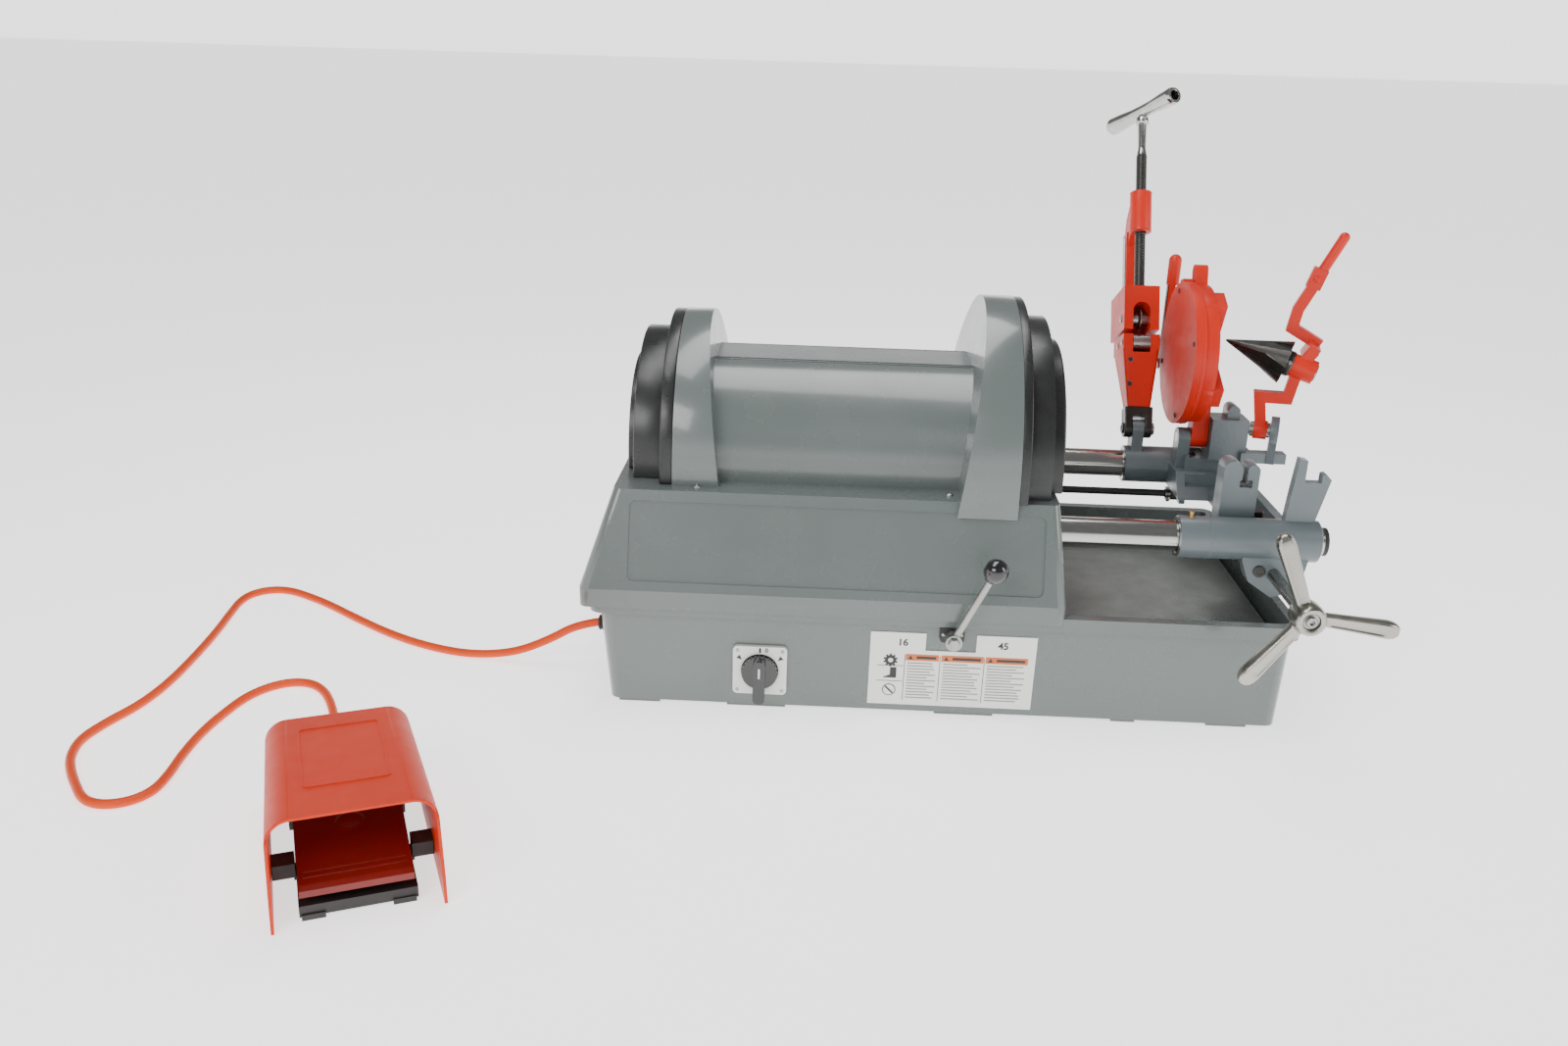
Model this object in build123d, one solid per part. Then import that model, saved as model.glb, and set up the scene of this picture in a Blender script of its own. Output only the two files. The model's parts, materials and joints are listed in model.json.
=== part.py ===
from build123d import *
import math
import os

# Pipe threading machine with a floor pedal, all sizes in millimetres.
# Frame: X along the spindle towards the carriage, Y away from the operator, Z up.
# The origin is the middle of the four stand bolt holes, in the plane of the base pads.

# ---- driving dimensions -------------------------------------------------------------
SPINDLE_Z = 297.0
PIPE_R = 32.5                       # spindle bore, passes 2 inch pipe
SPINDLE_R = 41.0
RUN = 0.05                          # radial clearance of every running fit

RAIL_Y = 153.6
RAIL_Z = 235.0
RAIL_R = 19.05
RAIL_END = 466.0
SLEEVE_R = 26.0

BASE_TOP_Z = 147.5
BASE_LIP_Z = 130.5
LEDGE_Z = 280.0
SKIRT_Z = 140.0
SKIRT_TOP_Z = 163.6

LEFT_ARCH_R = 168.0
RIGHT_ARCH_R = 197.6
DRUM_R = 118.0
DRUM_HALF = 144.0
DRUM_FLAT_Z = 412.0

GEAR_MODULE = 2.5
SPINDLE_TEETH = 80
PINION_TEETH = 20
MOTOR_Z = SPINDLE_Z - GEAR_MODULE * (SPINDLE_TEETH + PINION_TEETH) / 2

RACK_MODULE = 2.0
WHEEL_TEETH = 23
WHEEL_X = 404.0
RACK_PITCH_Z = 218.8
WHEEL_Z = RACK_PITCH_Z - RACK_MODULE * WHEEL_TEETH / 2

CUTTER_X = 293.0
CUTTER_PIVOT_Z = 287.0
CUTTER_LEAN = 25.0

HEAD_PIVOT_Y = 117.6
HEAD_PIVOT_Z = 287.0
HEAD_Y = 123.8
HEAD_Z = 404.9
HEAD_FRONT_X = 329.0
CHASER_ANGLE = 27.0
REST_ANGLE = -16.0

REAMER_PIVOT = Vector(447.0, 98.5, 307.3)
REAMER_SKEW = 16.0
REAMER_SWING = 96.0
CONE_BASE_X = 441.5
CONE_LENGTH = 84.0
CONE_R = 30.0

FOOT_ORIGIN = (-647.5, -703.5)
FOOT_TURN = 22.83
FOOT_WIDTH = 161.6

CORD_R = 5.5

# ---- places that several pieces share -----------------------------------------------
PAD_SPANS = ((-400, -348), (-263, -189), (-1, 73), (221, 251), (340, 390))
BOLT_X = 365.0
BOLT_Y = 165.0
BOLT_HOLE_R = 5.5
GLAND_HOLE_R = 9.0
CORD_EXIT_X = -440.0
CORD_EXIT_Y = -106.0
CORD_EXIT_Z = 66.0
MAINS_Y = 90.0
CORD_END_Z = 26.0
COVER_FOOT_Z = LEDGE_Z + 0.5
FRONT_OPEN_R = 60.0
REAR_OPEN_R = 45.0
BEARING_R = 56.0
JAW_OPEN_R = 37.5
JAW_ANGLES = (0, 120, 240)
RACK_X0 = 288.0
RACK_X1 = 434.0
HOSE_Y = 141.0
HOSE_Z = 196.0
HOSE_R = 5.0
HEAD_PIN_R = 7.0
HEAD_BORE_R = 27.0
HEAD_SWEEP_R = 100.0
CUTTER_PIN_R = 6.0
SHAFT_R = 8.0
SCREW_R = 8.0
ROLLER_Z = 122.0
WHEEL_PIN_Z = 159.0
T_HANDLE_Z = 469.0
TRIP_Y = HEAD_Y + 105.0
TRIP_Z = 366.0
LEVER_X = 12.8
LEVER_Z = 119.0
PEDAL_Y = 196.0
PEDAL_Z = 50.0
CORD_ROUTE = [
    (-470, -105, 60), (-508, -104, 36), (-555, -101, 14), (-612, -96, 5.5), (-672, -80, 5.5),
    (-738, -45, 5.5), (-806, 6, 5.5), (-860, 50, 5.5), (-905, 80, 5.5), (-938, 97, 5.5),
    (-966, 96, 5.5), (-986, 78, 5.5), (-992, 50, 5.5), (-988, 10, 5.5), (-979, -62, 5.5),
    (-974, -140, 5.5), (-972, -216, 5.5), (-979, -278, 5.5), (-996, -324, 5.5), (-1006, -368, 5.5),
    (-996, -408, 5.5), (-979, -438, 5.5), (-958, -467, 5.5), (-934, -497, 5.5), (-909, -505, 5.5),
    (-884, -496, 5.5), (-869, -474, 5.5), (-868, -440, 5.5), (-874, -390, 5.5), (-875, -336, 5.5),
    (-869, -286, 5.5), (-861, -246, 5.5), (-845, -217, 5.5), (-823, -200, 5.5), (-797, -199, 5.5),
    (-773, -217, 5.5), (-752, -250, 5.5), (-733, -290, 5.5), (-715, -330, 6.5), (-700, -366, 12),
    (-687, -399, 20),
]

PARTS = {}


# ---- small helpers ------------------------------------------------------------------
def block(x0, x1, y0, y1, z0, z1):
    size = Box(x1 - x0, y1 - y0, z1 - z0)
    return Pos((x0 + x1) / 2, (y0 + y1) / 2, (z0 + z1) / 2) * size


def rod_x(x0, x1, radius, y, z):
    return Pos((x0 + x1) / 2, y, z) * Rot(0, 90, 0) * Cylinder(radius, x1 - x0)


def rod_y(y0, y1, radius, x, z):
    return Pos(x, (y0 + y1) / 2, z) * Rot(90, 0, 0) * Cylinder(radius, y1 - y0)


def rod_z(z0, z1, radius, x, y):
    return Pos(x, y, (z0 + z1) / 2) * Cylinder(radius, z1 - z0)


def spindle_rod(x0, x1, radius):
    return rod_x(x0, x1, radius, 0, SPINDLE_Z)


def spindle_tube_solid(x0, x1, outer, inner):
    return spindle_rod(x0, x1, outer) - spindle_rod(x0 - 1, x1 + 1, inner)


def rounded_slab(x0, x1, y_half, z, radius):
    plane = Plane((0.5 * (x0 + x1), 0, z))
    return plane * RectangleRounded(x1 - x0, 2 * y_half, radius)


def strap(plane, points, width, thickness):
    """Flat bar of one width along a polyline, with round joints."""
    outline = None
    for start, end in zip(points[:-1], points[1:]):
        dx = end[0] - start[0]
        dy = end[1] - start[1]
        middle = Pos((start[0] + end[0]) / 2, (start[1] + end[1]) / 2)
        leg = middle * Rot(0, 0, math.degrees(math.atan2(dy, dx))) * Rectangle(math.hypot(dx, dy), width)
        leg += Pos(*start) * Circle(width / 2)
        leg += Pos(*end) * Circle(width / 2)
        outline = leg if outline is None else outline + leg
    return extrude(plane * outline, amount=thickness / 2, both=True)


def band(plane, points, width, thickness):
    """Flat bar of one width along a polyline, with mitred corners and square ends."""
    left = []
    right = []
    for index, here in enumerate(points):
        before = points[max(index - 1, 0)]
        after = points[min(index + 1, len(points) - 1)]
        arrive = Vector(here[0] - before[0], here[1] - before[1], 0)
        leave = Vector(after[0] - here[0], after[1] - here[1], 0)
        arrive = (arrive if index > 0 else leave).normalized()
        leave = (leave if index < len(points) - 1 else arrive).normalized()
        across = Vector(-arrive.Y - leave.Y, arrive.X + leave.X, 0).normalized()
        reach = width / 2 / across.dot(Vector(-arrive.Y, arrive.X, 0))
        left.append((here[0] + across.X * reach, here[1] + across.Y * reach))
        right.append((here[0] - across.X * reach, here[1] - across.Y * reach))
    outline = make_face(Polyline(*left, *reversed(right), close=True))
    return extrude(plane * outline, amount=thickness / 2, both=True)


def involute(angle):
    return math.tan(angle) - angle


def gear_outline(teeth, module, backlash, first_tooth):
    """Involute gear outline, pressure angle 20 degrees, one tooth centred at first_tooth degrees."""
    pitch_r = module * teeth / 2
    base_r = pitch_r * math.cos(math.radians(20))
    tip_r = pitch_r + module
    root_r = pitch_r - 1.25 * module
    half_pitch = math.pi / (2 * teeth) - backlash / (2 * pitch_r)
    half_base = half_pitch + involute(math.radians(20))
    flank = []
    low = max(base_r, root_r)
    for step in range(4):
        radius = low + (tip_r - low) * step / 3
        flank.append((radius, half_base - involute(math.acos(base_r / radius))))
    points = []
    for tooth in range(teeth):
        centre = math.radians(first_tooth) + 2 * math.pi * tooth / teeth
        side = [(root_r, flank[0][1])] + flank if root_r < base_r - 0.01 else flank
        for radius, half in side:
            points.append((radius * math.cos(centre - half), radius * math.sin(centre - half)))
        for radius, half in reversed(side):
            points.append((radius * math.cos(centre + half), radius * math.sin(centre + half)))
    return make_face(Polyline(*points, close=True))


def keep(name, shape):
    PARTS[name] = shape


# ---- base, housing and covers -------------------------------------------------------
def make_base():
    outer = loft([rounded_slab(-411, 425, 204, 6, 14), rounded_slab(-422, 427, 214, 132, 16)])
    rim = extrude(rounded_slab(-433, 433, 224.5, BASE_LIP_Z, 17), BASE_TOP_Z - BASE_LIP_Z)
    inner = loft([rounded_slab(-405, 419, 198, 12, 9), rounded_slab(-418, 422, 209.8, BASE_TOP_Z + 1, 11)])
    tray = outer + rim - inner
    for x0, x1 in PAD_SPANS:
        tray += block(x0, x1, -198, 198, 0, 8)
    for x in (-BOLT_X, BOLT_X):
        for y in (-BOLT_Y, BOLT_Y):
            tray -= rod_z(-1, 14, BOLT_HOLE_R, x, y)
    ledge = block(146, 414, -208, 208, 113, 119) - block(158, 402, -190, 190, 112, 120)
    tray += ledge & extrude(rounded_slab(-415, 421, 207.5, 112, 10), 9)
    tray -= rod_x(-430, -400, GLAND_HOLE_R, CORD_EXIT_Y, CORD_EXIT_Z)
    tray -= rod_x(-430, -400, GLAND_HOLE_R, MAINS_Y, CORD_EXIT_Z)
    tray -= rod_y(-235, -195, 6.2, LEVER_X, LEVER_Z)
    keep("base_tray", tray)
    screen = extrude(rounded_slab(150, 411, 200, 119, 8), 2.5)
    keep("chip_screen", screen)


def lower_form(inset):
    """Slanted body of the upper housing, shrunk by one wall when inset is above zero."""
    low = rounded_slab(-444 + inset, 147.5 - inset, 229 - inset, SKIRT_TOP_Z - inset, 12)
    high = rounded_slab(-406 + inset, 134 - inset, 190 - inset, LEDGE_Z - inset, 10)
    skirt = rounded_slab(-444 + inset, 147.5 - inset, 229 - inset, SKIRT_Z - 2 * inset, 12)
    return loft([low, high]) + extrude(skirt, SKIRT_TOP_Z - SKIRT_Z + inset)


def arch_form(x0, x1, radius, low_z, inset):
    arch = spindle_rod(x0 + inset, x1 - inset, radius - inset)
    arch += block(x0 + inset, x1 - inset, -radius + inset, radius - inset, low_z, SPINDLE_Z)
    return arch - block(x0 - 1, x1 + 1, -radius, radius, 0, low_z)


def drum_form(inset):
    """Middle of the housing: two round shoulders, a flat top and upright sides."""
    radius = DRUM_R - inset
    side = DRUM_HALF - DRUM_R
    x0, x1 = -300 - inset, 40 + inset
    drum = rod_x(x0, x1, radius, -side, SPINDLE_Z) + rod_x(x0, x1, radius, side, SPINDLE_Z)
    drum += block(x0, x1, -side, side, SPINDLE_Z, SPINDLE_Z + radius)
    drum -= block(x0 - 1, x1 + 1, -200, 200, DRUM_FLAT_Z - inset, 500)
    drum -= block(x0 - 1, x1 + 1, -200, 200, 0, SPINDLE_Z)
    return drum + block(x0, x1, -DRUM_HALF + inset, DRUM_HALF - inset, LEDGE_Z - 20 - inset, SPINDLE_Z)


def arch_slope(x_low, x_high, outside):
    """Wedge that slants the inner face of an arch; outside is an x beyond the arch on that side."""
    side = Plane((0, 0, 0), x_dir=(1, 0, 0), z_dir=(0, -1, 0))
    outline = Polyline((outside, 230), (x_low, 230), (x_high, 510), (outside, 510), close=True)
    return extrude(side * make_face(outline), 230, both=True)


def make_housing():
    wall = 4.0
    left_outer = arch_form(-337, -270, LEFT_ARCH_R, LEDGE_Z - 30, 0) - arch_slope(-274, -307, -260)
    right_outer = arch_form(0, 82.6, RIGHT_ARCH_R, 262, 0) - arch_slope(6, 45, -10)
    outer = lower_form(0) + left_outer + right_outer + drum_form(0)
    outer += block(-300, 36, -40, 40, DRUM_FLAT_Z - 6, DRUM_FLAT_Z + 1.5)
    left_inner = arch_form(-334, -270, LEFT_ARCH_R - wall, 240, 0) - arch_slope(-278, -311, -260)
    right_inner = arch_form(0, 79.6, RIGHT_ARCH_R - wall, 250, 0) - arch_slope(10, 49, -10)
    inner = lower_form(wall) + left_inner + right_inner + drum_form(wall)
    shell = outer - inner
    shell -= spindle_rod(120, 160, FRONT_OPEN_R) + spindle_rod(-450, -380, REAR_OPEN_R)
    shell -= spindle_rod(70, 100, 150) + spindle_rod(-345, -330, 120)
    shell -= rod_x(120, 160, RAIL_R + 0.5, -RAIL_Y, RAIL_Z)
    shell -= rod_x(120, 160, RAIL_R + 0.5, RAIL_Y, RAIL_Z)
    shell -= rod_x(120, 160, 9, HOSE_Y, HOSE_Z)
    shell -= block(130, 160, -225.5, 225.5, 130, BASE_TOP_Z + 0.5)
    shell -= block(84, 128, -150, 150, 270, 290) + block(-394, -340, -105, 105, 270, 290)
    front_wall = Plane((-133.5, -209.7, 221.0), x_dir=(1, 0, 0), z_dir=(0, -116.4, 39))
    shell -= extrude(front_wall * RectangleRounded(503, 98, 8), 1.5, both=True)
    keep("upper_housing", shell)


def cover_ring(x0, x1, outer, inner):
    ring = spindle_tube_solid(x0, x1, outer, inner)
    ring += block(x0, x1, -outer, -inner, COVER_FOOT_Z, SPINDLE_Z)
    ring += block(x0, x1, inner, outer, COVER_FOOT_Z, SPINDLE_Z)
    return ring - block(x0 - 1, x1 + 1, -300, 300, 0, COVER_FOOT_Z)


def make_covers():
    keep("front_ring", cover_ring(82.6, 94, RIGHT_ARCH_R - 1, 168))
    side = cover_ring(94, 124, 173, 165)
    face = cover_ring(120, 124, 173, 136)
    cap = cover_ring(124, 142.4, 144, 136)
    front = cover_ring(138.4, 142.4, 144, FRONT_OPEN_R)
    shape = side + face + cap + front
    keep("front_cover", fillet(shape.edges().filter_by(GeomType.CIRCLE).sort_by(Axis.X)[-2:-1], 3))
    keep("rear_ring", cover_ring(-353, -337, LEFT_ARCH_R - 1, 140))
    side = cover_ring(-385, -353, 144, 137)
    face = cover_ring(-388, -384, 144, 103)
    cap = cover_ring(-399, -388, 109, 103)
    back = cover_ring(-399, -395, 109, REAR_OPEN_R)
    keep("rear_cover", side + face + cap + back)


# ---- headstock ----------------------------------------------------------------------
def make_headstock():
    frame = block(28, 52, -182, 182, 12.5, 262) + spindle_rod(28, 52, 74)
    frame += block(28, 52, -74, 74, 240, SPINDLE_Z)
    frame += block(-118, -84, -182, -120, 12.5, 262) + block(-118, -84, 120, 182, 12.5, 262)
    frame += block(-84, 28, -182, -170, 12.5, 60) + block(-84, 28, 170, 182, 12.5, 60)
    rear = block(-332, -308, -80, 80, 250, SPINDLE_Z) + spindle_rod(-332, -308, 74)
    rear += block(-350, -332, -120, 120, 12.5, 262)
    rear += block(-350, -308, -120, 120, 250, 262)
    frame += rear
    frame -= spindle_rod(20, 60, BEARING_R) + spindle_rod(-352, -300, BEARING_R)
    for side in (-1, 1):
        frame -= rod_x(-130, 60, RAIL_R, side * RAIL_Y, RAIL_Z)
    frame -= rod_x(20, 60, 9, HOSE_Y, HOSE_Z)
    keep("headstock_frame", frame)
    bearings = spindle_tube_solid(28, 52, BEARING_R, SPINDLE_R + RUN)
    bearings += spindle_tube_solid(-332, -308, BEARING_R, SPINDLE_R + RUN)
    keep("spindle_bearings", bearings)


def make_spindle():
    keep("spindle_tube", spindle_tube_solid(-386, 62, SPINDLE_R, PIPE_R))
    gear_plane = Plane((-40, 0, SPINDLE_Z), x_dir=(0, 1, 0), z_dir=(1, 0, 0))
    gear = extrude(gear_plane * gear_outline(SPINDLE_TEETH, GEAR_MODULE, 0.25, 0), 25)
    gear -= spindle_rod(-50, 0, SPINDLE_R)
    gear -= spindle_tube_solid(-41, -34, 84, 54) + spindle_tube_solid(-21, -14, 84, 54)
    keep("spindle_gear", gear)
    chuck = spindle_tube_solid(62, 116, 80, JAW_OPEN_R + 2.5) + spindle_tube_solid(56, 62, 66, SPINDLE_R)
    for angle in JAW_ANGLES:
        slot = Pos(0, 0, SPINDLE_Z) * Rot(angle, 0, 0) * block(74, 104, -7.05, 7.05, 20, 82)
        chuck -= slot
    keep("chuck_body", chuck)
    for number, angle in enumerate(JAW_ANGLES, 1):
        jaw = block(74.05, 103.95, -7, 7, JAW_OPEN_R, 79)
        tip = Plane.XY.offset(JAW_OPEN_R - 4) * Pos(89, 0) * Rectangle(29.9, 5)
        root = Plane.XY.offset(JAW_OPEN_R) * Pos(89, 0) * Rectangle(29.9, 14)
        jaw += loft([tip, root])
        keep(f"jaw_{number}", Pos(0, 0, SPINDLE_Z) * Rot(angle, 0, 0) * jaw)


def make_motor():
    body = rod_x(-300, -120, 62, 0, MOTOR_Z)
    for index in range(9):
        x = -282 + index * 18
        body -= rod_x(x, x + 4, 70, 0, MOTOR_Z) - rod_x(x, x + 4, 58, 0, MOTOR_Z)
    body += rod_x(-306, -300, 40, 0, MOTOR_Z)
    body += block(-260, -150, -58, 58, 12.5, MOTOR_Z - 40)
    body += block(-120, -58, -60, 60, MOTOR_Z - 62, MOTOR_Z + 62)
    body += rod_x(-58, -50, 30, 0, MOTOR_Z)
    body -= rod_x(-90, -40, 11 + RUN, 0, MOTOR_Z)
    keep("gear_motor", body)
    pinion_plane = Plane((-40, 0, MOTOR_Z), x_dir=(0, 1, 0), z_dir=(1, 0, 0))
    shift = 360 / PINION_TEETH / 2
    pinion = extrude(pinion_plane * gear_outline(PINION_TEETH, GEAR_MODULE, 0.25, shift), 25)
    pinion += rod_x(-88, -15, 11, 0, MOTOR_Z)
    keep("motor_pinion", pinion)


# ---- rails --------------------------------------------------------------------------
def make_rails():
    front = rod_x(-118, RAIL_END - 6, RAIL_R, -RAIL_Y, RAIL_Z)
    front -= block(RACK_X0, RACK_X1, -RAIL_Y - 4, -RAIL_Y + 4, RAIL_Z - 30, 223)
    keep("front_rail", front)
    keep("rear_rail", rod_x(-118, 446, RAIL_R, RAIL_Y, RAIL_Z))
    plugs = rod_x(RAIL_END - 6, RAIL_END, RAIL_R - 1.5, -RAIL_Y, RAIL_Z)
    plugs += rod_x(446, 452, RAIL_R - 1.5, RAIL_Y, RAIL_Z)
    keep("rail_plugs", plugs)
    pitch = math.pi * RACK_MODULE
    rack = block(RACK_X0, RACK_X1, -RAIL_Y - 4, -RAIL_Y + 4, RACK_PITCH_Z - RACK_MODULE, 223)
    slope = math.tan(math.radians(20))
    half = pitch / 4 + 0.1
    count = int((RACK_X1 - RACK_X0) / pitch / 2)
    plane = Plane((WHEEL_X, -RAIL_Y, RACK_PITCH_Z), x_dir=(1, 0, 0), z_dir=(0, -1, 0))
    for index in range(-count - 8, count + 1):
        centre = index * pitch
        if not RACK_X0 + 3 < WHEEL_X + centre < RACK_X1 - 3:
            continue
        deep = 1.25 * RACK_MODULE
        low = -RACK_MODULE - 0.5
        gap = make_face(Polyline(
            (centre - half - slope * -low, low), (centre + half + slope * -low, low),
            (centre + half - slope * deep, deep), (centre - half + slope * deep, deep), close=True))
        rack -= extrude(plane * gap, 6, both=True)
    keep("rail_rack", rack)


# ---- carriage -----------------------------------------------------------------------
def make_carriage():
    body = rod_x(285, 454.7, SLEEVE_R, -RAIL_Y, RAIL_Z)
    body += rod_x(278, 440, SLEEVE_R, RAIL_Y, RAIL_Z)
    body += block(338, 432, -150, 150, 214, 246)
    body -= block(350, 420, -118, 84, 228, 250)
    body += block(352, 432, 98, 168, 204, 266)
    body += block(341, 357.5, HEAD_PIVOT_Y - 14, HEAD_PIVOT_Y + 14, 240, HEAD_PIVOT_Z)
    body += rod_x(341, 357.5, 14, HEAD_PIVOT_Y, HEAD_PIVOT_Z)
    body += block(382, 432, 92, 134, 262, 320)
    body += block(403, 420, 100, 128, 318, 330) + rod_y(100, 128, 8.5, 411.5, 330)
    body += block(339, 383, -132, -102, 240, 310)
    for x, radius in ((350.5, 11.5), (375.5, 7.5)):
        body += block(x - radius, x + radius, -132, -102, 300, 315) + rod_y(-132, -102, radius, x, 315)
    body += block(344, 357, -132, -102, 315, 323)
    body -= block(362, 368, -140, -95, 297, 330) + block(360, 375, -140, -125, 294, 303)
    fork = Plane((0, -150, 0), x_dir=(1, 0, 0), z_dir=(0, -1, 0))
    outline = make_face(Polyline(
        (412, 250), (416, 300), (420, 340), (429.5, 338), (429.5, 310.5), (449.5, 310.5),
        (449.5, 321), (454, 322), (461, 315), (446, 250), close=True))
    body += extrude(fork * outline, 7, both=True)
    apron = Plane((0, -160, 0), x_dir=(1, 0, 0), z_dir=(0, -1, 0))
    skirt = make_face(Polyline(
        (362, 232), (364, 212), (374, 186), (404, 166), (424, 172), (440, 196), (446, 232), close=True))
    body += extrude(apron * skirt, 12, both=True)
    body += block(CUTTER_X - 8, CUTTER_X + 8, RAIL_Y - 13, RAIL_Y + 13, 250, CUTTER_PIVOT_Z)
    body += rod_x(CUTTER_X - 8, CUTTER_X + 8, 13, RAIL_Y, CUTTER_PIVOT_Z)
    body += reamer_lug()
    body += block(360, 368, 130, 152, 184, 210)
    body -= rod_x(325, 379, HEAD_SWEEP_R, 0, SPINDLE_Z + 0.3)
    body -= rod_y(-180, -155, 6, 386, 200)
    body -= rod_x(270, 460, RAIL_R + RUN, -RAIL_Y, RAIL_Z)
    body -= rod_x(270, 460, RAIL_R + RUN, RAIL_Y, RAIL_Z)
    body -= rod_x(335, 405, HEAD_PIN_R, HEAD_PIVOT_Y, HEAD_PIVOT_Z)
    body -= rod_x(CUTTER_X - 10, CUTTER_X + 10, CUTTER_PIN_R, RAIL_Y, CUTTER_PIVOT_Z)
    body -= reamer_rod(-42, 27, SHAFT_R + RUN)
    body -= block(357.5, 382, 97, 140, 262, 270)
    body -= block(WHEEL_X - 27, WHEEL_X + 27, -RAIL_Y - 5, -RAIL_Y + 5, WHEEL_Z - 27, 240)
    body -= rod_y(-180, -140, 8 + RUN, WHEEL_X, WHEEL_Z)
    body -= rod_x(355, 372, HOSE_R, HOSE_Y, HOSE_Z)
    keep("carriage_casting", body)
    pins = rod_x(341, 404, HEAD_PIN_R, HEAD_PIVOT_Y, HEAD_PIVOT_Z)
    pins += rod_x(CUTTER_X - 20, CUTTER_X + 20, CUTTER_PIN_R, RAIL_Y, CUTTER_PIVOT_Z)
    pins += rod_x(CUTTER_X + 20, CUTTER_X + 23, 8.5, RAIL_Y, CUTTER_PIVOT_Z)
    keep("hinge_pins", pins)
    keep("oil_hose", rod_x(100, 372, HOSE_R, HOSE_Y, HOSE_Z))


def reamer_axis():
    skew = math.radians(REAMER_SKEW)
    return Vector(math.cos(skew), -math.sin(skew), 0)


def reamer_rod(start, end, radius):
    along = reamer_axis()
    plane = Plane(REAMER_PIVOT + along * start, z_dir=(along.X, along.Y, 0))
    return extrude(plane * Circle(radius), end - start)


def reamer_lug():
    along = reamer_axis()
    foot = REAMER_PIVOT + along * 15.2 - Vector(0, 0, 22)
    lug = reamer_rod(15.2, 26, 20)
    lug += extrude(Plane(foot, x_dir=(0, 0, 1), z_dir=(along.X, along.Y, 0)) * Rectangle(46, 24), 10.8)
    lug += block(424, 486, 84, 104, 262, 276)
    clear = reamer_rod(-15, 15, 24)
    return (lug - clear) + block(424, 440, 84, 134, 262, 276)


def make_handwheel():
    hub = rod_y(-319, -286, 17, WHEEL_X, WHEEL_Z) - rod_y(-320, -311, 9, WHEEL_X, WHEEL_Z)
    hub -= rod_y(-315, -280, 8, WHEEL_X, WHEEL_Z)
    keep("handwheel_hub", hub)
    spokes = None
    for index in range(3):
        angle = math.radians(113 + 120 * index)
        out = Vector(math.cos(angle), 0, math.sin(angle))
        start = Vector(WHEEL_X, -301, WHEEL_Z) + out * 15.0
        plane = Plane(start, x_dir=(0, 1, 0), z_dir=(out.X, 0, out.Z))
        spoke = loft([plane * Circle(8.5), plane.offset(82) * Circle(11)])
        spoke += Pos(*(start + out * 82)) * Sphere(11)
        spoke -= rod_y(-325, -280, 17, WHEEL_X, WHEEL_Z)
        spokes = spoke if spokes is None else spokes + spoke
    keep("handwheel_spokes", spokes)
    plane = Plane((WHEEL_X, -RAIL_Y - 3.7, WHEEL_Z), x_dir=(1, 0, 0), z_dir=(0, 1, 0))
    pinion = extrude(plane * gear_outline(WHEEL_TEETH, RACK_MODULE, 0.2, -90), 7.4)
    pinion += rod_y(-315, -144, 8, WHEEL_X, WHEEL_Z)
    keep("pinion_shaft", pinion)


# ---- pipe cutter, built upright about its pivot and then leaned back ----------------
def cutter_place(shape):
    return Pos(CUTTER_X, RAIL_Y, CUTTER_PIVOT_Z) * Rot(-CUTTER_LEAN, 0, 0) * shape


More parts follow.
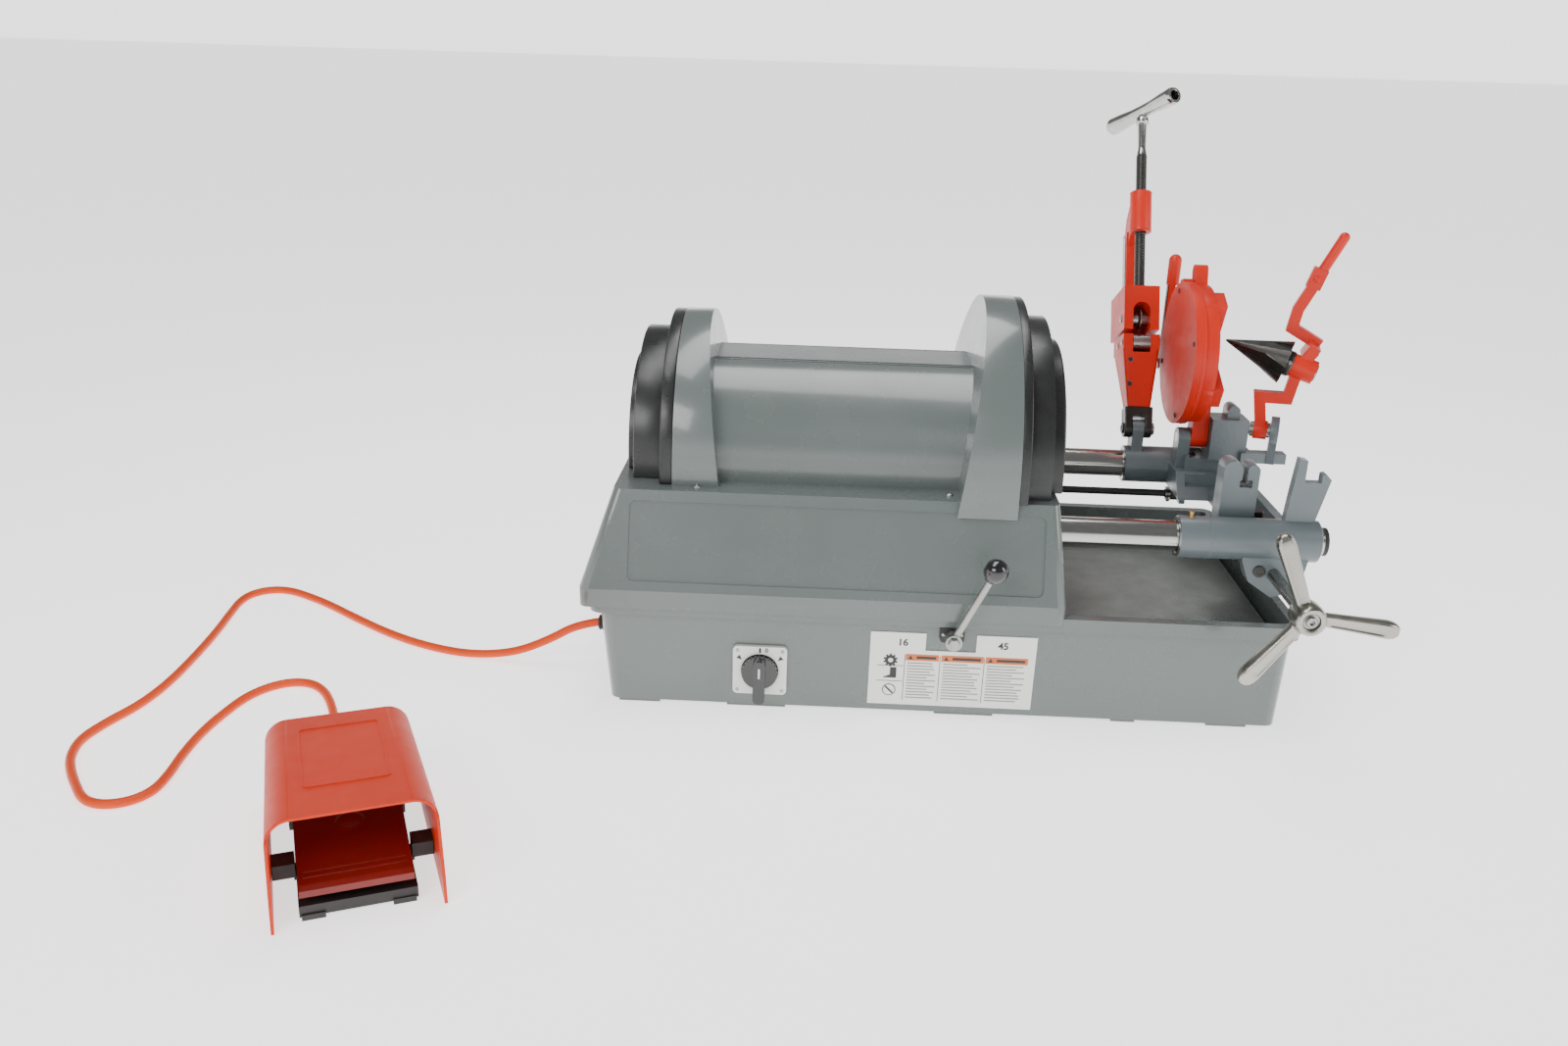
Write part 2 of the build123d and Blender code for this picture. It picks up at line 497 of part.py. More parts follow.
def make_cutter():
    knuckle = rod_x(8.4, 19.5, 13, 0, 0) + rod_x(-19.5, -8.4, 13, 0, 0)
    knuckle += block(8.4, 19.5, -13, 13, 0, 20) + block(-19.5, -8.4, -13, 13, 0, 20)
    knuckle += block(-19.5, 19.5, -13, 13, 15.5, 30)
    knuckle -= rod_x(-25, 25, CUTTER_PIN_R + RUN, 0, 0)
    keep("cutter_knuckle", cutter_place(knuckle))
    low = Plane((0, 2, 30)) * RectangleRounded(33, 30, 4)
    high = Plane((0, 10, 112)) * RectangleRounded(52, 64, 5)
    frame = loft([low, high])
    frame += block(-26, 26, -22, 42, 111, 133)
    frame -= block(-12.3, 12.3, -30, 27, 107, 140)
    frame += block(-11, 11, 38, 62, 70, 300)
    spine = Plane((0, 0, 0), x_dir=(0, 1, 0), z_dir=(1, 0, 0))
    crook = make_face(Polyline(
        (38, 262), (62, 262), (62, 300), (52, 322), (34, 336), (0, 344), (0, 296), (26, 292), (38, 280),
        close=True))
    frame += extrude(spine * crook, 9, both=True)
    frame += rod_z(289, 346, 15.5, 0, 0)
    frame -= rod_z(280, 350, SCREW_R + RUN, 0, 0)
    for y in (-14, 14):
        frame -= rod_x(-27, 27, 4, y, ROLLER_Z)
    keep("cutter_frame", cutter_place(frame))
    pins = rod_x(-26, 26, 4, -14, ROLLER_Z) + rod_x(-26, 26, 4, 14, ROLLER_Z)
    keep("roller_pins", cutter_place(pins))
    for name, y in (("roller_front", -14), ("roller_rear", 14)):
        roller = rod_x(-12, 12, 11, y, ROLLER_Z) - rod_x(-13, 13, 4 + RUN, y, ROLLER_Z)
        keep(name, cutter_place(roller))
    wheel_block = block(-25, 25, -20, 71, 140, 204)
    wheel_block -= block(-11.4, 11.4, 37.6, 62.4, 130, 210)
    wheel_block -= block(-12, 12, -21, 20, 139, 168) + rod_y(-21, 20, 12, 0, 168)
    wheel_block -= rod_x(-26, 26, 4.5, 0, WHEEL_PIN_Z)
    wheel_block -= rod_z(196, 206, SCREW_R + RUN, 0, 0)
    keep("wheel_block", cutter_place(wheel_block))
    keep("wheel_pin", cutter_place(rod_x(-25, 25, 4.5, 0, WHEEL_PIN_Z)))
    profile = make_face(Polyline(
        (-11.4, 4.5 + RUN), (11.4, 4.5 + RUN), (11.4, 8.5), (3, 9.5), (0.6, 17), (-0.6, 17),
        (-3, 9.5), (-11.4, 8.5), close=True))
    wheel = Pos(0, 0, WHEEL_PIN_Z) * revolve(profile, Axis.X)
    keep("cutter_wheel", cutter_place(wheel))
    screw = rod_z(197, 405, SCREW_R, 0, 0) + rod_z(405, T_HANDLE_Z, 6.5, 0, 0)
    keep("feed_screw", cutter_place(screw))
    profile = make_face(Polyline(
        (-70, 7), (-70, 11), (-66, 12.5), (-45, 11.5), (-20, 9.5), (0, 9.2), (20, 9.5), (45, 11.5),
        (66, 12.5), (70, 11), (70, 7), (44, 7), (44, 0), (-44, 0), (-44, 7), close=True))
    handle = Pos(0, 0, T_HANDLE_Z) * Rot(0, 0, -64) * revolve(profile, Axis.X)
    handle -= rod_z(T_HANDLE_Z - 30, T_HANDLE_Z, 6.5, 0, 0)
    keep("t_handle", cutter_place(handle))


# ---- self-opening die head ----------------------------------------------------------
def head_rod(x0, x1, radius):
    return rod_x(x0, x1, radius, HEAD_Y, HEAD_Z)


def head_place(angle, shape):
    return Pos(0, HEAD_Y, HEAD_Z) * Rot(angle, 0, 0) * shape


def make_die_head():
    body = head_rod(344, 361, 94) + head_rod(338, 344, 73)
    for index in range(4):
        boss = block(346, 374, -15, 15, 34, 93)
        body += head_place(CHASER_ANGLE - 90 + 90 * index, boss)
    lug = Plane((369.5, 0, 0), x_dir=(0, 1, 0), z_dir=(1, 0, 0))
    body += strap(lug, [(HEAD_Y - 4, HEAD_Z - 66), (HEAD_PIVOT_Y, HEAD_PIVOT_Z)], 26, 22.5)
    body -= head_rod(330, 385, HEAD_BORE_R)
    for index in range(4):
        slot = block(345.5, 358.5, -6.05, 6.05, 20, 90)
        body -= head_place(CHASER_ANGLE - 90 + 90 * index, slot)
    body -= rod_x(350, 390, HEAD_PIN_R + RUN, HEAD_PIVOT_Y, HEAD_PIVOT_Z)
    body -= head_rod(330, 344, 92)
    body += head_rod(338, 344, 73) - head_rod(330, 350, HEAD_BORE_R)
    rest = block(346, 363, -9.5, 9.5, 88, 112) + Pos(354.5, 0, 112) * Rot(0, 90, 0) * Cylinder(9.5, 17)
    body += head_place(REST_ANGLE, rest)
    body += block(345, 360, HEAD_Y + 84, HEAD_Y + 109, 352, 376)
    body -= rod_x(330, 366, 4, TRIP_Y, TRIP_Z)
    body += rod_x(330.5, 360, 4, TRIP_Y, TRIP_Z)
    keep("die_head_body", body)
    plate = head_rod(334.5, 338, 74) - head_rod(330, 340, HEAD_BORE_R)
    plate -= head_rod(330, 336.3, 44)
    keep("die_face_plate", plate)
    ring = head_rod(HEAD_FRONT_X, 343.6, 97) - head_rod(330, 345, 74.3)
    ring += head_place(REST_ANGLE, block(HEAD_FRONT_X + 1, 343, -8, 8, 92, 101))
    keep("cam_ring", ring)
    for index in range(4):
        chaser = block(345.55, 358.45, -6, 6, HEAD_BORE_R + 1, 88)
        keep(f"chaser_{index + 1}", head_place(CHASER_ANGLE - 90 + 90 * index, chaser))
    lever = Plane((336, 0, 0), x_dir=(0, 1, 0), z_dir=(1, 0, 0))
    trip = strap(lever, [(TRIP_Y, TRIP_Z), (TRIP_Y + 2, 430), (TRIP_Y, 486)], 13, 9)
    trip += rod_z(482, 516, 9, 337, TRIP_Y) + Pos(337, TRIP_Y, 516) * Sphere(9)
    trip -= rod_x(325, 345, 4 + RUN, TRIP_Y, TRIP_Z)
    keep("trip_lever", trip)


# ---- pipe reamer --------------------------------------------------------------------
def make_reamer():
    along = reamer_axis()
    back = Vector(-along.Y, along.X, 0)
    plane = Plane(REAMER_PIVOT, x_dir=(along.X, along.Y, 0), z_dir=(-back.X, -back.Y, 0))
    arm = reamer_rod(-7, 11, 13)
    arm += band(plane, [(2, 4), (-5, 47), (31, 48), (39, 92), (56, 116)], 15, 16)
    rear_plane = Plane(REAMER_PIVOT + back * 36, x_dir=(along.X, along.Y, 0), z_dir=(-back.X, -back.Y, 0))
    link = Plane(REAMER_PIVOT + back * 18, x_dir=(along.X, along.Y, 0), z_dir=(-back.X, -back.Y, 0))
    arm += band(link, [(47, 103), (57, 121)], 16, 50)
    arm += band(rear_plane, [(50, 108), (57, 121), (25, 138), (29, 164), (48, 206)], 15, 14)
    knuckle = band(rear_plane, [(43, 194), (51, 220)], 20, 16)
    start = REAMER_PIVOT + back * 36 + along * 50 + Vector(0, 0, 212)
    direction = (along * 23 + Vector(0, 0, 51)).normalized()
    grip_plane = Plane(start, z_dir=(direction.X, direction.Y, direction.Z))
    grip = extrude(grip_plane * Circle(7), 56) + Pos(*(start + direction * 56)) * Sphere(7)
    arm += knuckle + grip
    hinge = Axis(REAMER_PIVOT, (along.X, along.Y, 0))
    boss = rod_x(CONE_BASE_X + 8, CONE_BASE_X + 40, 16, 0, SPINDLE_Z)
    arm += boss.rotate(hinge, -REAMER_SWING)
    collar = rod_x(CONE_BASE_X - 1, CONE_BASE_X + 8, 17.3, 0, SPINDLE_Z)
    arm -= collar.rotate(hinge, -REAMER_SWING)
    arm -= reamer_rod(-30, 30, SHAFT_R)
    keep("reamer_arm", arm)
    shaft = reamer_rod(-41, 26, SHAFT_R) + reamer_rod(-11.5, -7.1, 10.5) + reamer_rod(11.1, 14.5, 10.5)
    keep("reamer_shaft", shaft)
    cone = Pos(CONE_BASE_X - CONE_LENGTH / 2, 0, SPINDLE_Z) * Rot(0, -90, 0) * Cone(CONE_R, 1.2, CONE_LENGTH)
    for index in range(5):
        flute = block(CONE_BASE_X - CONE_LENGTH + 12, CONE_BASE_X + 6, 0, 14, 0, 26)
        apex_x = CONE_BASE_X - CONE_LENGTH
        lift = Pos(apex_x, 0, 1.6) * Rot(0, -12.5, 0) * Pos(-apex_x, 0, 0)
        cone -= Pos(0, 0, SPINDLE_Z) * Rot(72 * index, 0, 0) * (lift * flute)
    cone += rod_x(CONE_BASE_X, CONE_BASE_X + 8, 17, 0, SPINDLE_Z)
    keep("reamer_cone", cone.rotate(hinge, -REAMER_SWING))


# ---- controls on the front wall -----------------------------------------------------
def wall_plane(x, z):
    """Plane on the slanted front wall of the base; its x axis runs right and its normal outwards."""
    tilt = math.atan2(10, 126)
    y = -204 - (z - 6) * math.tan(tilt)
    return Plane((x, y, z), x_dir=(1, 0, 0), z_dir=(0, -math.cos(tilt), -math.sin(tilt)))


def make_controls():
    plane = wall_plane(-221.7, 57)
    plate = extrude(plane.offset(0.1) * RectangleRounded(67, 67, 6), 5)
    plate -= extrude(plane * Circle(6), 12, both=True)
    keep("switch_plate", plate)
    collar = extrude(plane.offset(5.4) * Circle(22), 8)
    knob = collar + extrude(plane.offset(12) * Pos(0, -8) * RectangleRounded(15, 60, 7), 12)
    knob += extrude(plane.offset(0.5) * Circle(6 - RUN), 8)
    keep("switch_knob", knob)
    plane = wall_plane(16, 66)
    label = extrude(plane.offset(0.1) * Rectangle(204, 102), 1.2)
    label -= extrude(plane * Pos(-3, 40) * Rectangle(62, 26), 5, both=True)
    keep("label_plate", label)
    bezel = wall_plane(12.8, 119)
    frame = extrude(bezel.offset(0.1) * RectangleRounded(30, 22, 5), 6)
    frame -= rod_y(-240, -205, 5.5 + RUN, LEVER_X, LEVER_Z)
    keep("lever_bezel", frame)
    lever = rod_y(-246, -210, 5.5, LEVER_X, LEVER_Z) + rod_y(-246, -230, 10, LEVER_X, LEVER_Z)
    foot = Vector(LEVER_X, -238, LEVER_Z)
    top = Vector(52, -262, 217)
    aim = (top - foot).normalized()
    stem_plane = Plane(foot, z_dir=(aim.X, aim.Y, aim.Z))
    lever += extrude(stem_plane * Circle(4.5), (top - foot).length)
    knob_start = foot + aim * ((top - foot).length - 10)
    ball = Pos(*(top + aim * 4)) * Sphere(15)
    ball += extrude(Plane(knob_start, z_dir=(aim.X, aim.Y, aim.Z)) * Circle(8), 8)
    ball -= extrude(stem_plane * Circle(4.5), (top - foot).length)
    keep("shift_lever", lever)
    keep("shift_knob", ball)


# ---- floor pedal --------------------------------------------------------------------
def foot_place(shape):
    return Pos(FOOT_ORIGIN[0], FOOT_ORIGIN[1], 0) * Rot(0, 0, FOOT_TURN) * shape


def guard_section(y, height, inset, wall):
    middle = FOOT_WIDTH / 2
    bottom = middle - wall
    top = middle - inset - wall
    corner = 24 - wall
    high = height - wall
    plane = Plane((middle, y, 0), x_dir=(1, 0, 0), z_dir=(0, -1, 0))
    outline = Polyline((-bottom, -4 * wall), (-top, high), (top, high), (bottom, -4 * wall), close=True)
    face = make_face(outline)
    upper = face.vertices().sort_by(Axis.Y)[2:]
    return plane * fillet(upper, corner)


def make_foot_switch():
    shell = loft([guard_section(0, 113.7, 2, 0), guard_section(268, 89, 7, 0)])
    shell -= loft([guard_section(-1, 113.7, 2, 3), guard_section(269, 89, 7, 3)])
    front_cut = Plane((-10, 0, 0), x_dir=(0, 1, 0), z_dir=(1, 0, 0))
    mouth_cut = make_face(Polyline((-5, 2), (-5, 130), (13, 130), (12, 100), close=True))
    shell -= extrude(front_cut * mouth_cut, 200)
    back_cut = make_face(Polyline((240, -20), (280, -20), (280, 100), (262, 100), (250, 20), close=True))
    shell -= extrude(front_cut * back_cut, 200)
    keep("foot_guard", foot_place(shell))
    base = block(26, 136, 16, 236, 3, 15)
    for x in (28, 112):
        for y in (14, 214):
            base += block(x, x + 22, y, y + 20, 0, 6)
    base += block(34, 128, 208, 242, 10, 52)
    base += block(60, 102, 120, 150, 14, 24)
    for x0, x1, inner in ((22, 25.6, 30), (136.4, 140, 132)):
        base += block(x0, x1, 176, 214, 10, PEDAL_Z + 10)
        base += block(min(x0, inner), max(x1, inner), 176, 214, 3, 15)
    base -= rod_x(15, 145, 4 + RUN, PEDAL_Y, PEDAL_Z)
    base -= rod_y(230, 250, CORD_R + 3, 81, CORD_END_Z)
    keep("foot_base", foot_place(base))
    brackets = block(4.2, 26, 62, 86, 18, 34) + block(24, 38, 62, 86, 15, 20)
    brackets += block(136, 157.4, 62, 86, 18, 34) + block(124, 138, 62, 86, 15, 20)
    keep("foot_brackets", foot_place(brackets))
    side = Plane((27.5, 0, 0), x_dir=(0, 1, 0), z_dir=(1, 0, 0))
    tread = make_face(Polyline(
        (16, 24), (16, 31), (22, 34), (PEDAL_Y - 8, PEDAL_Z + 6), (PEDAL_Y, PEDAL_Z + 4),
        (PEDAL_Y, PEDAL_Z - 1), (24, 30), (19, 28), (19, 24), close=True))
    pedal = extrude(side * tread, 106)
    pedal += rod_x(27.5, 133.5, 6.5, PEDAL_Y, PEDAL_Z)
    pedal += rod_x(16, 146, 4, PEDAL_Y, PEDAL_Z)
    keep("foot_pedal", foot_place(pedal))


# ---- cord of the floor pedal --------------------------------------------------------
def foot_point(x, y, z):
    turn = math.radians(FOOT_TURN)
    return (FOOT_ORIGIN[0] + x * math.cos(turn) - y * math.sin(turn),
            FOOT_ORIGIN[1] + x * math.sin(turn) + y * math.cos(turn), z)


def make_cord():
    exit_point = (CORD_EXIT_X, CORD_EXIT_Y, CORD_EXIT_Z)
    end_point = foot_point(81, 262, CORD_END_Z)
    route = [Vector(*point) for point in [exit_point] + CORD_ROUTE + [end_point]]
    radii = []
    for before, here, after in zip(route[:-2], route[1:-1], route[2:]):
        turn = (here - before).get_angle(after - here)
        shorter = min((here - before).length, (after - here).length)
        radii.append(0.45 * shorter / math.tan(math.radians(turn) / 2))
        print("cord bend", [round(v) for v in here], "turn", round(turn), "radius", round(radii[-1]))
    path = FilletPolyline(*route, radius=radii)
    start = Plane(route[0], z_dir=(route[1] - route[0]).normalized())
    cord = sweep(start * Circle(CORD_R), path)
    ratio = cord.volume / (math.pi * CORD_R ** 2 * path.length)
    print("cord length", round(path.length), "volume ratio", round(ratio, 4))
    keep("foot_cord", cord)
    glands = rod_x(CORD_EXIT_X, -400, CORD_R + 3.5, CORD_EXIT_Y, CORD_EXIT_Z)
    glands += rod_x(-424, -418, 14, CORD_EXIT_Y, CORD_EXIT_Z)
    glands += rod_x(-428, -400, CORD_R + 3.5, MAINS_Y, CORD_EXIT_Z)
    glands += rod_x(-424, -418, 14, MAINS_Y, CORD_EXIT_Z)
    relief = loft([Plane((81, 232, CORD_END_Z), z_dir=(0, 1, 0)) * Circle(CORD_R + 3),
                   Plane((81, 262, CORD_END_Z), z_dir=(0, 1, 0)) * Circle(CORD_R + 0.8)])
    keep("cord_glands", glands + foot_place(relief))


make_base()
make_housing()
make_covers()
make_headstock()
make_spindle()
make_motor()
make_rails()
make_carriage()
make_handwheel()
make_cutter()
make_die_head()
make_reamer()
make_controls()
make_foot_switch()
make_cord()

os.makedirs("parts", exist_ok=True)
for name, shape in PARTS.items():
    shape.label = name
    export_step(shape, f"parts/{name}.step")
print(len(PARTS), "nodes")
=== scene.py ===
import json
import math

import bmesh
import bpy
from mathutils import Matrix, Vector


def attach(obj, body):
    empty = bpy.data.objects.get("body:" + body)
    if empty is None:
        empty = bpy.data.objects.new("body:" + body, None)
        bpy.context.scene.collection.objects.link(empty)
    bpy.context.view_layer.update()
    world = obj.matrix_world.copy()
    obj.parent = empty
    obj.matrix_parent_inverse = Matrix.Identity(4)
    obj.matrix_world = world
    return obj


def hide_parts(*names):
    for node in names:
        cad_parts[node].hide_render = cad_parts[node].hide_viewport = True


# Pipe threading machine with a floor pedal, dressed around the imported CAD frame.
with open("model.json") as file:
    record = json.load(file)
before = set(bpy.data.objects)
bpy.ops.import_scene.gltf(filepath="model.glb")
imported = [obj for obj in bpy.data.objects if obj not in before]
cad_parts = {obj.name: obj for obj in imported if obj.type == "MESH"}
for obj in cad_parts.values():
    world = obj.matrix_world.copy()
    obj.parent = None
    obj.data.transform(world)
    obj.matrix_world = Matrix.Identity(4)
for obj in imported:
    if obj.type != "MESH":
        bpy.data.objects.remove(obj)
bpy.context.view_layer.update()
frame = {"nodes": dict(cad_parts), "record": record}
NODES = frame["nodes"]
MM = 0.001
SLEEVE_Y, SLEEVE_Z = -153.6, 235
WHEEL_X, WHEEL_Z = 404, 195.8
PLATE_FACE_X = 334.5


# ---- camera, floor and light --------------------------------------------------------
CAMERA_AT = Vector((-0.1521, -1.7505, 0.7988))
CAMERA_YAW = math.radians(1.67)
CAMERA_PITCH = math.radians(19.55)
CAMERA_ROLL = math.radians(1.73)
CAMERA_LENS = 31.33


def make_camera():
    ahead = Vector((-math.sin(CAMERA_YAW) * math.cos(CAMERA_PITCH),
                    math.cos(CAMERA_YAW) * math.cos(CAMERA_PITCH), -math.sin(CAMERA_PITCH)))
    level = Vector((math.cos(CAMERA_YAW), math.sin(CAMERA_YAW), 0))
    down = ahead.cross(level)
    right = level * math.cos(CAMERA_ROLL) - down * math.sin(CAMERA_ROLL)
    up = -(level * math.sin(CAMERA_ROLL) + down * math.cos(CAMERA_ROLL))
    data = bpy.data.cameras.new("camera")
    data.sensor_width = 36
    data.lens = CAMERA_LENS
    data.clip_end = 50
    camera = bpy.data.objects.new("camera", data)
    bpy.context.scene.collection.objects.link(camera)
    rotation = Matrix((right, up, -ahead)).transposed()
    camera.matrix_world = Matrix.Translation(CAMERA_AT) @ rotation.to_4x4()
    bpy.context.scene.camera = camera


def area_light(name, place, target, size, power, colour=(1, 1, 1)):
    data = bpy.data.lights.new(name, "AREA")
    data.shape = "RECTANGLE"
    data.size, data.size_y = size
    data.energy = power
    data.color = colour
    light = bpy.data.objects.new(name, data)
    bpy.context.scene.collection.objects.link(light)
    light.location = place
    light.rotation_euler = (Vector(target) - Vector(place)).to_track_quat("-Z", "Y").to_euler()


def make_studio():
    world = bpy.data.worlds.new("studio")
    bpy.context.scene.world = world
    world.use_nodes = True
    tree = world.node_tree
    tree.nodes["Background"].inputs[0].default_value = (0.99, 0.99, 1.0, 1)
    split = tree.nodes.new("ShaderNodeSeparateXYZ")
    fade = tree.nodes.new("ShaderNodeMapRange")
    fade.interpolation_type = "SMOOTHSTEP"
    for key, number in (("From Min", 0.04), ("From Max", 0.30), ("To Min", 2.3), ("To Max", 0.25)):
        fade.inputs[key].default_value = number
    tree.links.new(tree.nodes.new("ShaderNodeTexCoord").outputs["Generated"], split.inputs[0])
    tree.links.new(split.outputs["Z"], fade.inputs["Value"])
    tree.links.new(fade.outputs["Result"], tree.nodes["Background"].inputs[1])
    area_light("light_top", (-0.3, 0.2, 2.4), (0, 0, 0.2), (2.4, 0.9), 42)
    area_light("light_front", (-1.3, -2.2, 1.7), (0, 0, 0.2), (1.5, 0.9), 32)
    area_light("light_right", (2.2, -0.9, 1.3), (0.2, 0, 0.3), (0.8, 1.2), 18)
    mesh = bpy.data.meshes.new("floor")
    reach = 60
    mesh.from_pydata([(-reach, -reach, 0), (reach, -reach, 0), (reach, reach, 0), (-reach, reach, 0)],
                     [], [(0, 1, 2, 3)])
    floor = bpy.data.objects.new("floor", mesh)
    bpy.context.scene.collection.objects.link(floor)
    mesh.materials.append(surface("floor_pale", (0.86, 0.86, 0.86), (0.84, 0.84, 0.84), rough=(0.75, 0.85),
                                  emit=1.5))


# ---- materials ----------------------------------------------------------------------
def surface(name, base, second=None, rough=(0.4, 0.5), metal=0.0, cloud=9.0, grain=0.0, depth=0.0,
            stretch=(1, 1, 1), worn=None, worn_radius=0.0012, worn_amount=0.0, coat=0.0, coat_rough=0.1,
            specular=0.5, speck=None, sheen=0.0, aniso=0.0, emit=0.0):
    """Layered procedural finish: cloudy colour, uneven gloss, fine grain and worn edges."""
    material = bpy.data.materials.new(name)
    material.use_nodes = True
    tree = material.node_tree
    nodes, links = tree.nodes, tree.links
    shader = nodes["Principled BSDF"]
    shader.inputs["Metallic"].default_value = metal
    shader.inputs["Coat Weight"].default_value = coat
    shader.inputs["Coat Roughness"].default_value = coat_rough
    shader.inputs["Specular IOR Level"].default_value = specular
    shader.inputs["Sheen Weight"].default_value = sheen
    shader.inputs["Anisotropic"].default_value = aniso
    shader.inputs["Emission Color"].default_value = (1, 1, 1, 1)
    shader.inputs["Emission Strength"].default_value = emit
    second = second or tuple(0.86 * channel for channel in base)
    where = nodes.new("ShaderNodeTexCoord").outputs["Object"]
    mapping = nodes.new("ShaderNodeMapping")
    mapping.inputs["Scale"].default_value = stretch
    links.new(where, mapping.inputs["Vector"])

    def noise(scale, detail=3.0, source=None):
        node = nodes.new("ShaderNodeTexNoise")
        node.inputs["Scale"].default_value = scale
        node.inputs["Detail"].default_value = detail
        links.new(source or mapping.outputs["Vector"], node.inputs["Vector"])
        return node.outputs["Fac"]

    def spread(value, low, high, to_low, to_high):
        node = nodes.new("ShaderNodeMapRange")
        for key, number in (("From Min", low), ("From Max", high), ("To Min", to_low), ("To Max", to_high)):
            node.inputs[key].default_value = number
        links.new(value, node.inputs["Value"])
        return node.outputs["Result"]

    def mixed(factor, first, other):
        node = nodes.new("ShaderNodeMix")
        node.data_type = "RGBA"
        links.new(factor, node.inputs["Factor"])
        for key, colour in (("A", first), ("B", other)):
            socket = [s for s in node.inputs if s.name == key and s.type == "RGBA"][0]
            if isinstance(colour, tuple):
                socket.default_value = (*colour, 1)
            else:
                links.new(colour, socket)
        return [s for s in node.outputs if s.type == "RGBA"][0]

    colour = mixed(spread(noise(cloud), 0.32, 0.68, 0, 1), base, second)
    gloss = spread(noise(cloud * 5.3, 4.0), 0.3, 0.7, rough[0], rough[1])
    if speck:
        dots = spread(noise(speck[1], 1.0, where), speck[2], speck[2] + 0.05, 0, 1)
        colour = mixed(dots, colour, speck[0])
    if worn:
        rounded = nodes.new("ShaderNodeBevel")
        rounded.samples = 3
        rounded.inputs["Radius"].default_value = worn_radius
        plain = nodes.new("ShaderNodeNewGeometry")
        dot = nodes.new("ShaderNodeVectorMath")
        dot.operation = "DOT_PRODUCT"
        links.new(rounded.outputs["Normal"], dot.inputs[0])
        links.new(plain.outputs["Normal"], dot.inputs[1])
        rubbed = nodes.new("ShaderNodeMath")
        rubbed.operation = "MULTIPLY"
        links.new(spread(dot.outputs["Value"], 0.97, 0.8, 0, worn_amount), rubbed.inputs[0])
        links.new(spread(noise(140.0, 4.0, where), 0.42, 0.62, 0, 1), rubbed.inputs[1])
        colour = mixed(rubbed.outputs["Value"], colour, worn)
    links.new(colour, shader.inputs["Base Color"])
    links.new(gloss, shader.inputs["Roughness"])
    if grain:
        bump = nodes.new("ShaderNodeBump")
        bump.inputs["Strength"].default_value = 1.0
        bump.inputs["Distance"].default_value = depth
        links.new(noise(grain, 2.0), bump.inputs["Height"])
        links.new(bump.outputs["Normal"], shader.inputs["Normal"])
    return material


MATERIALS = {}


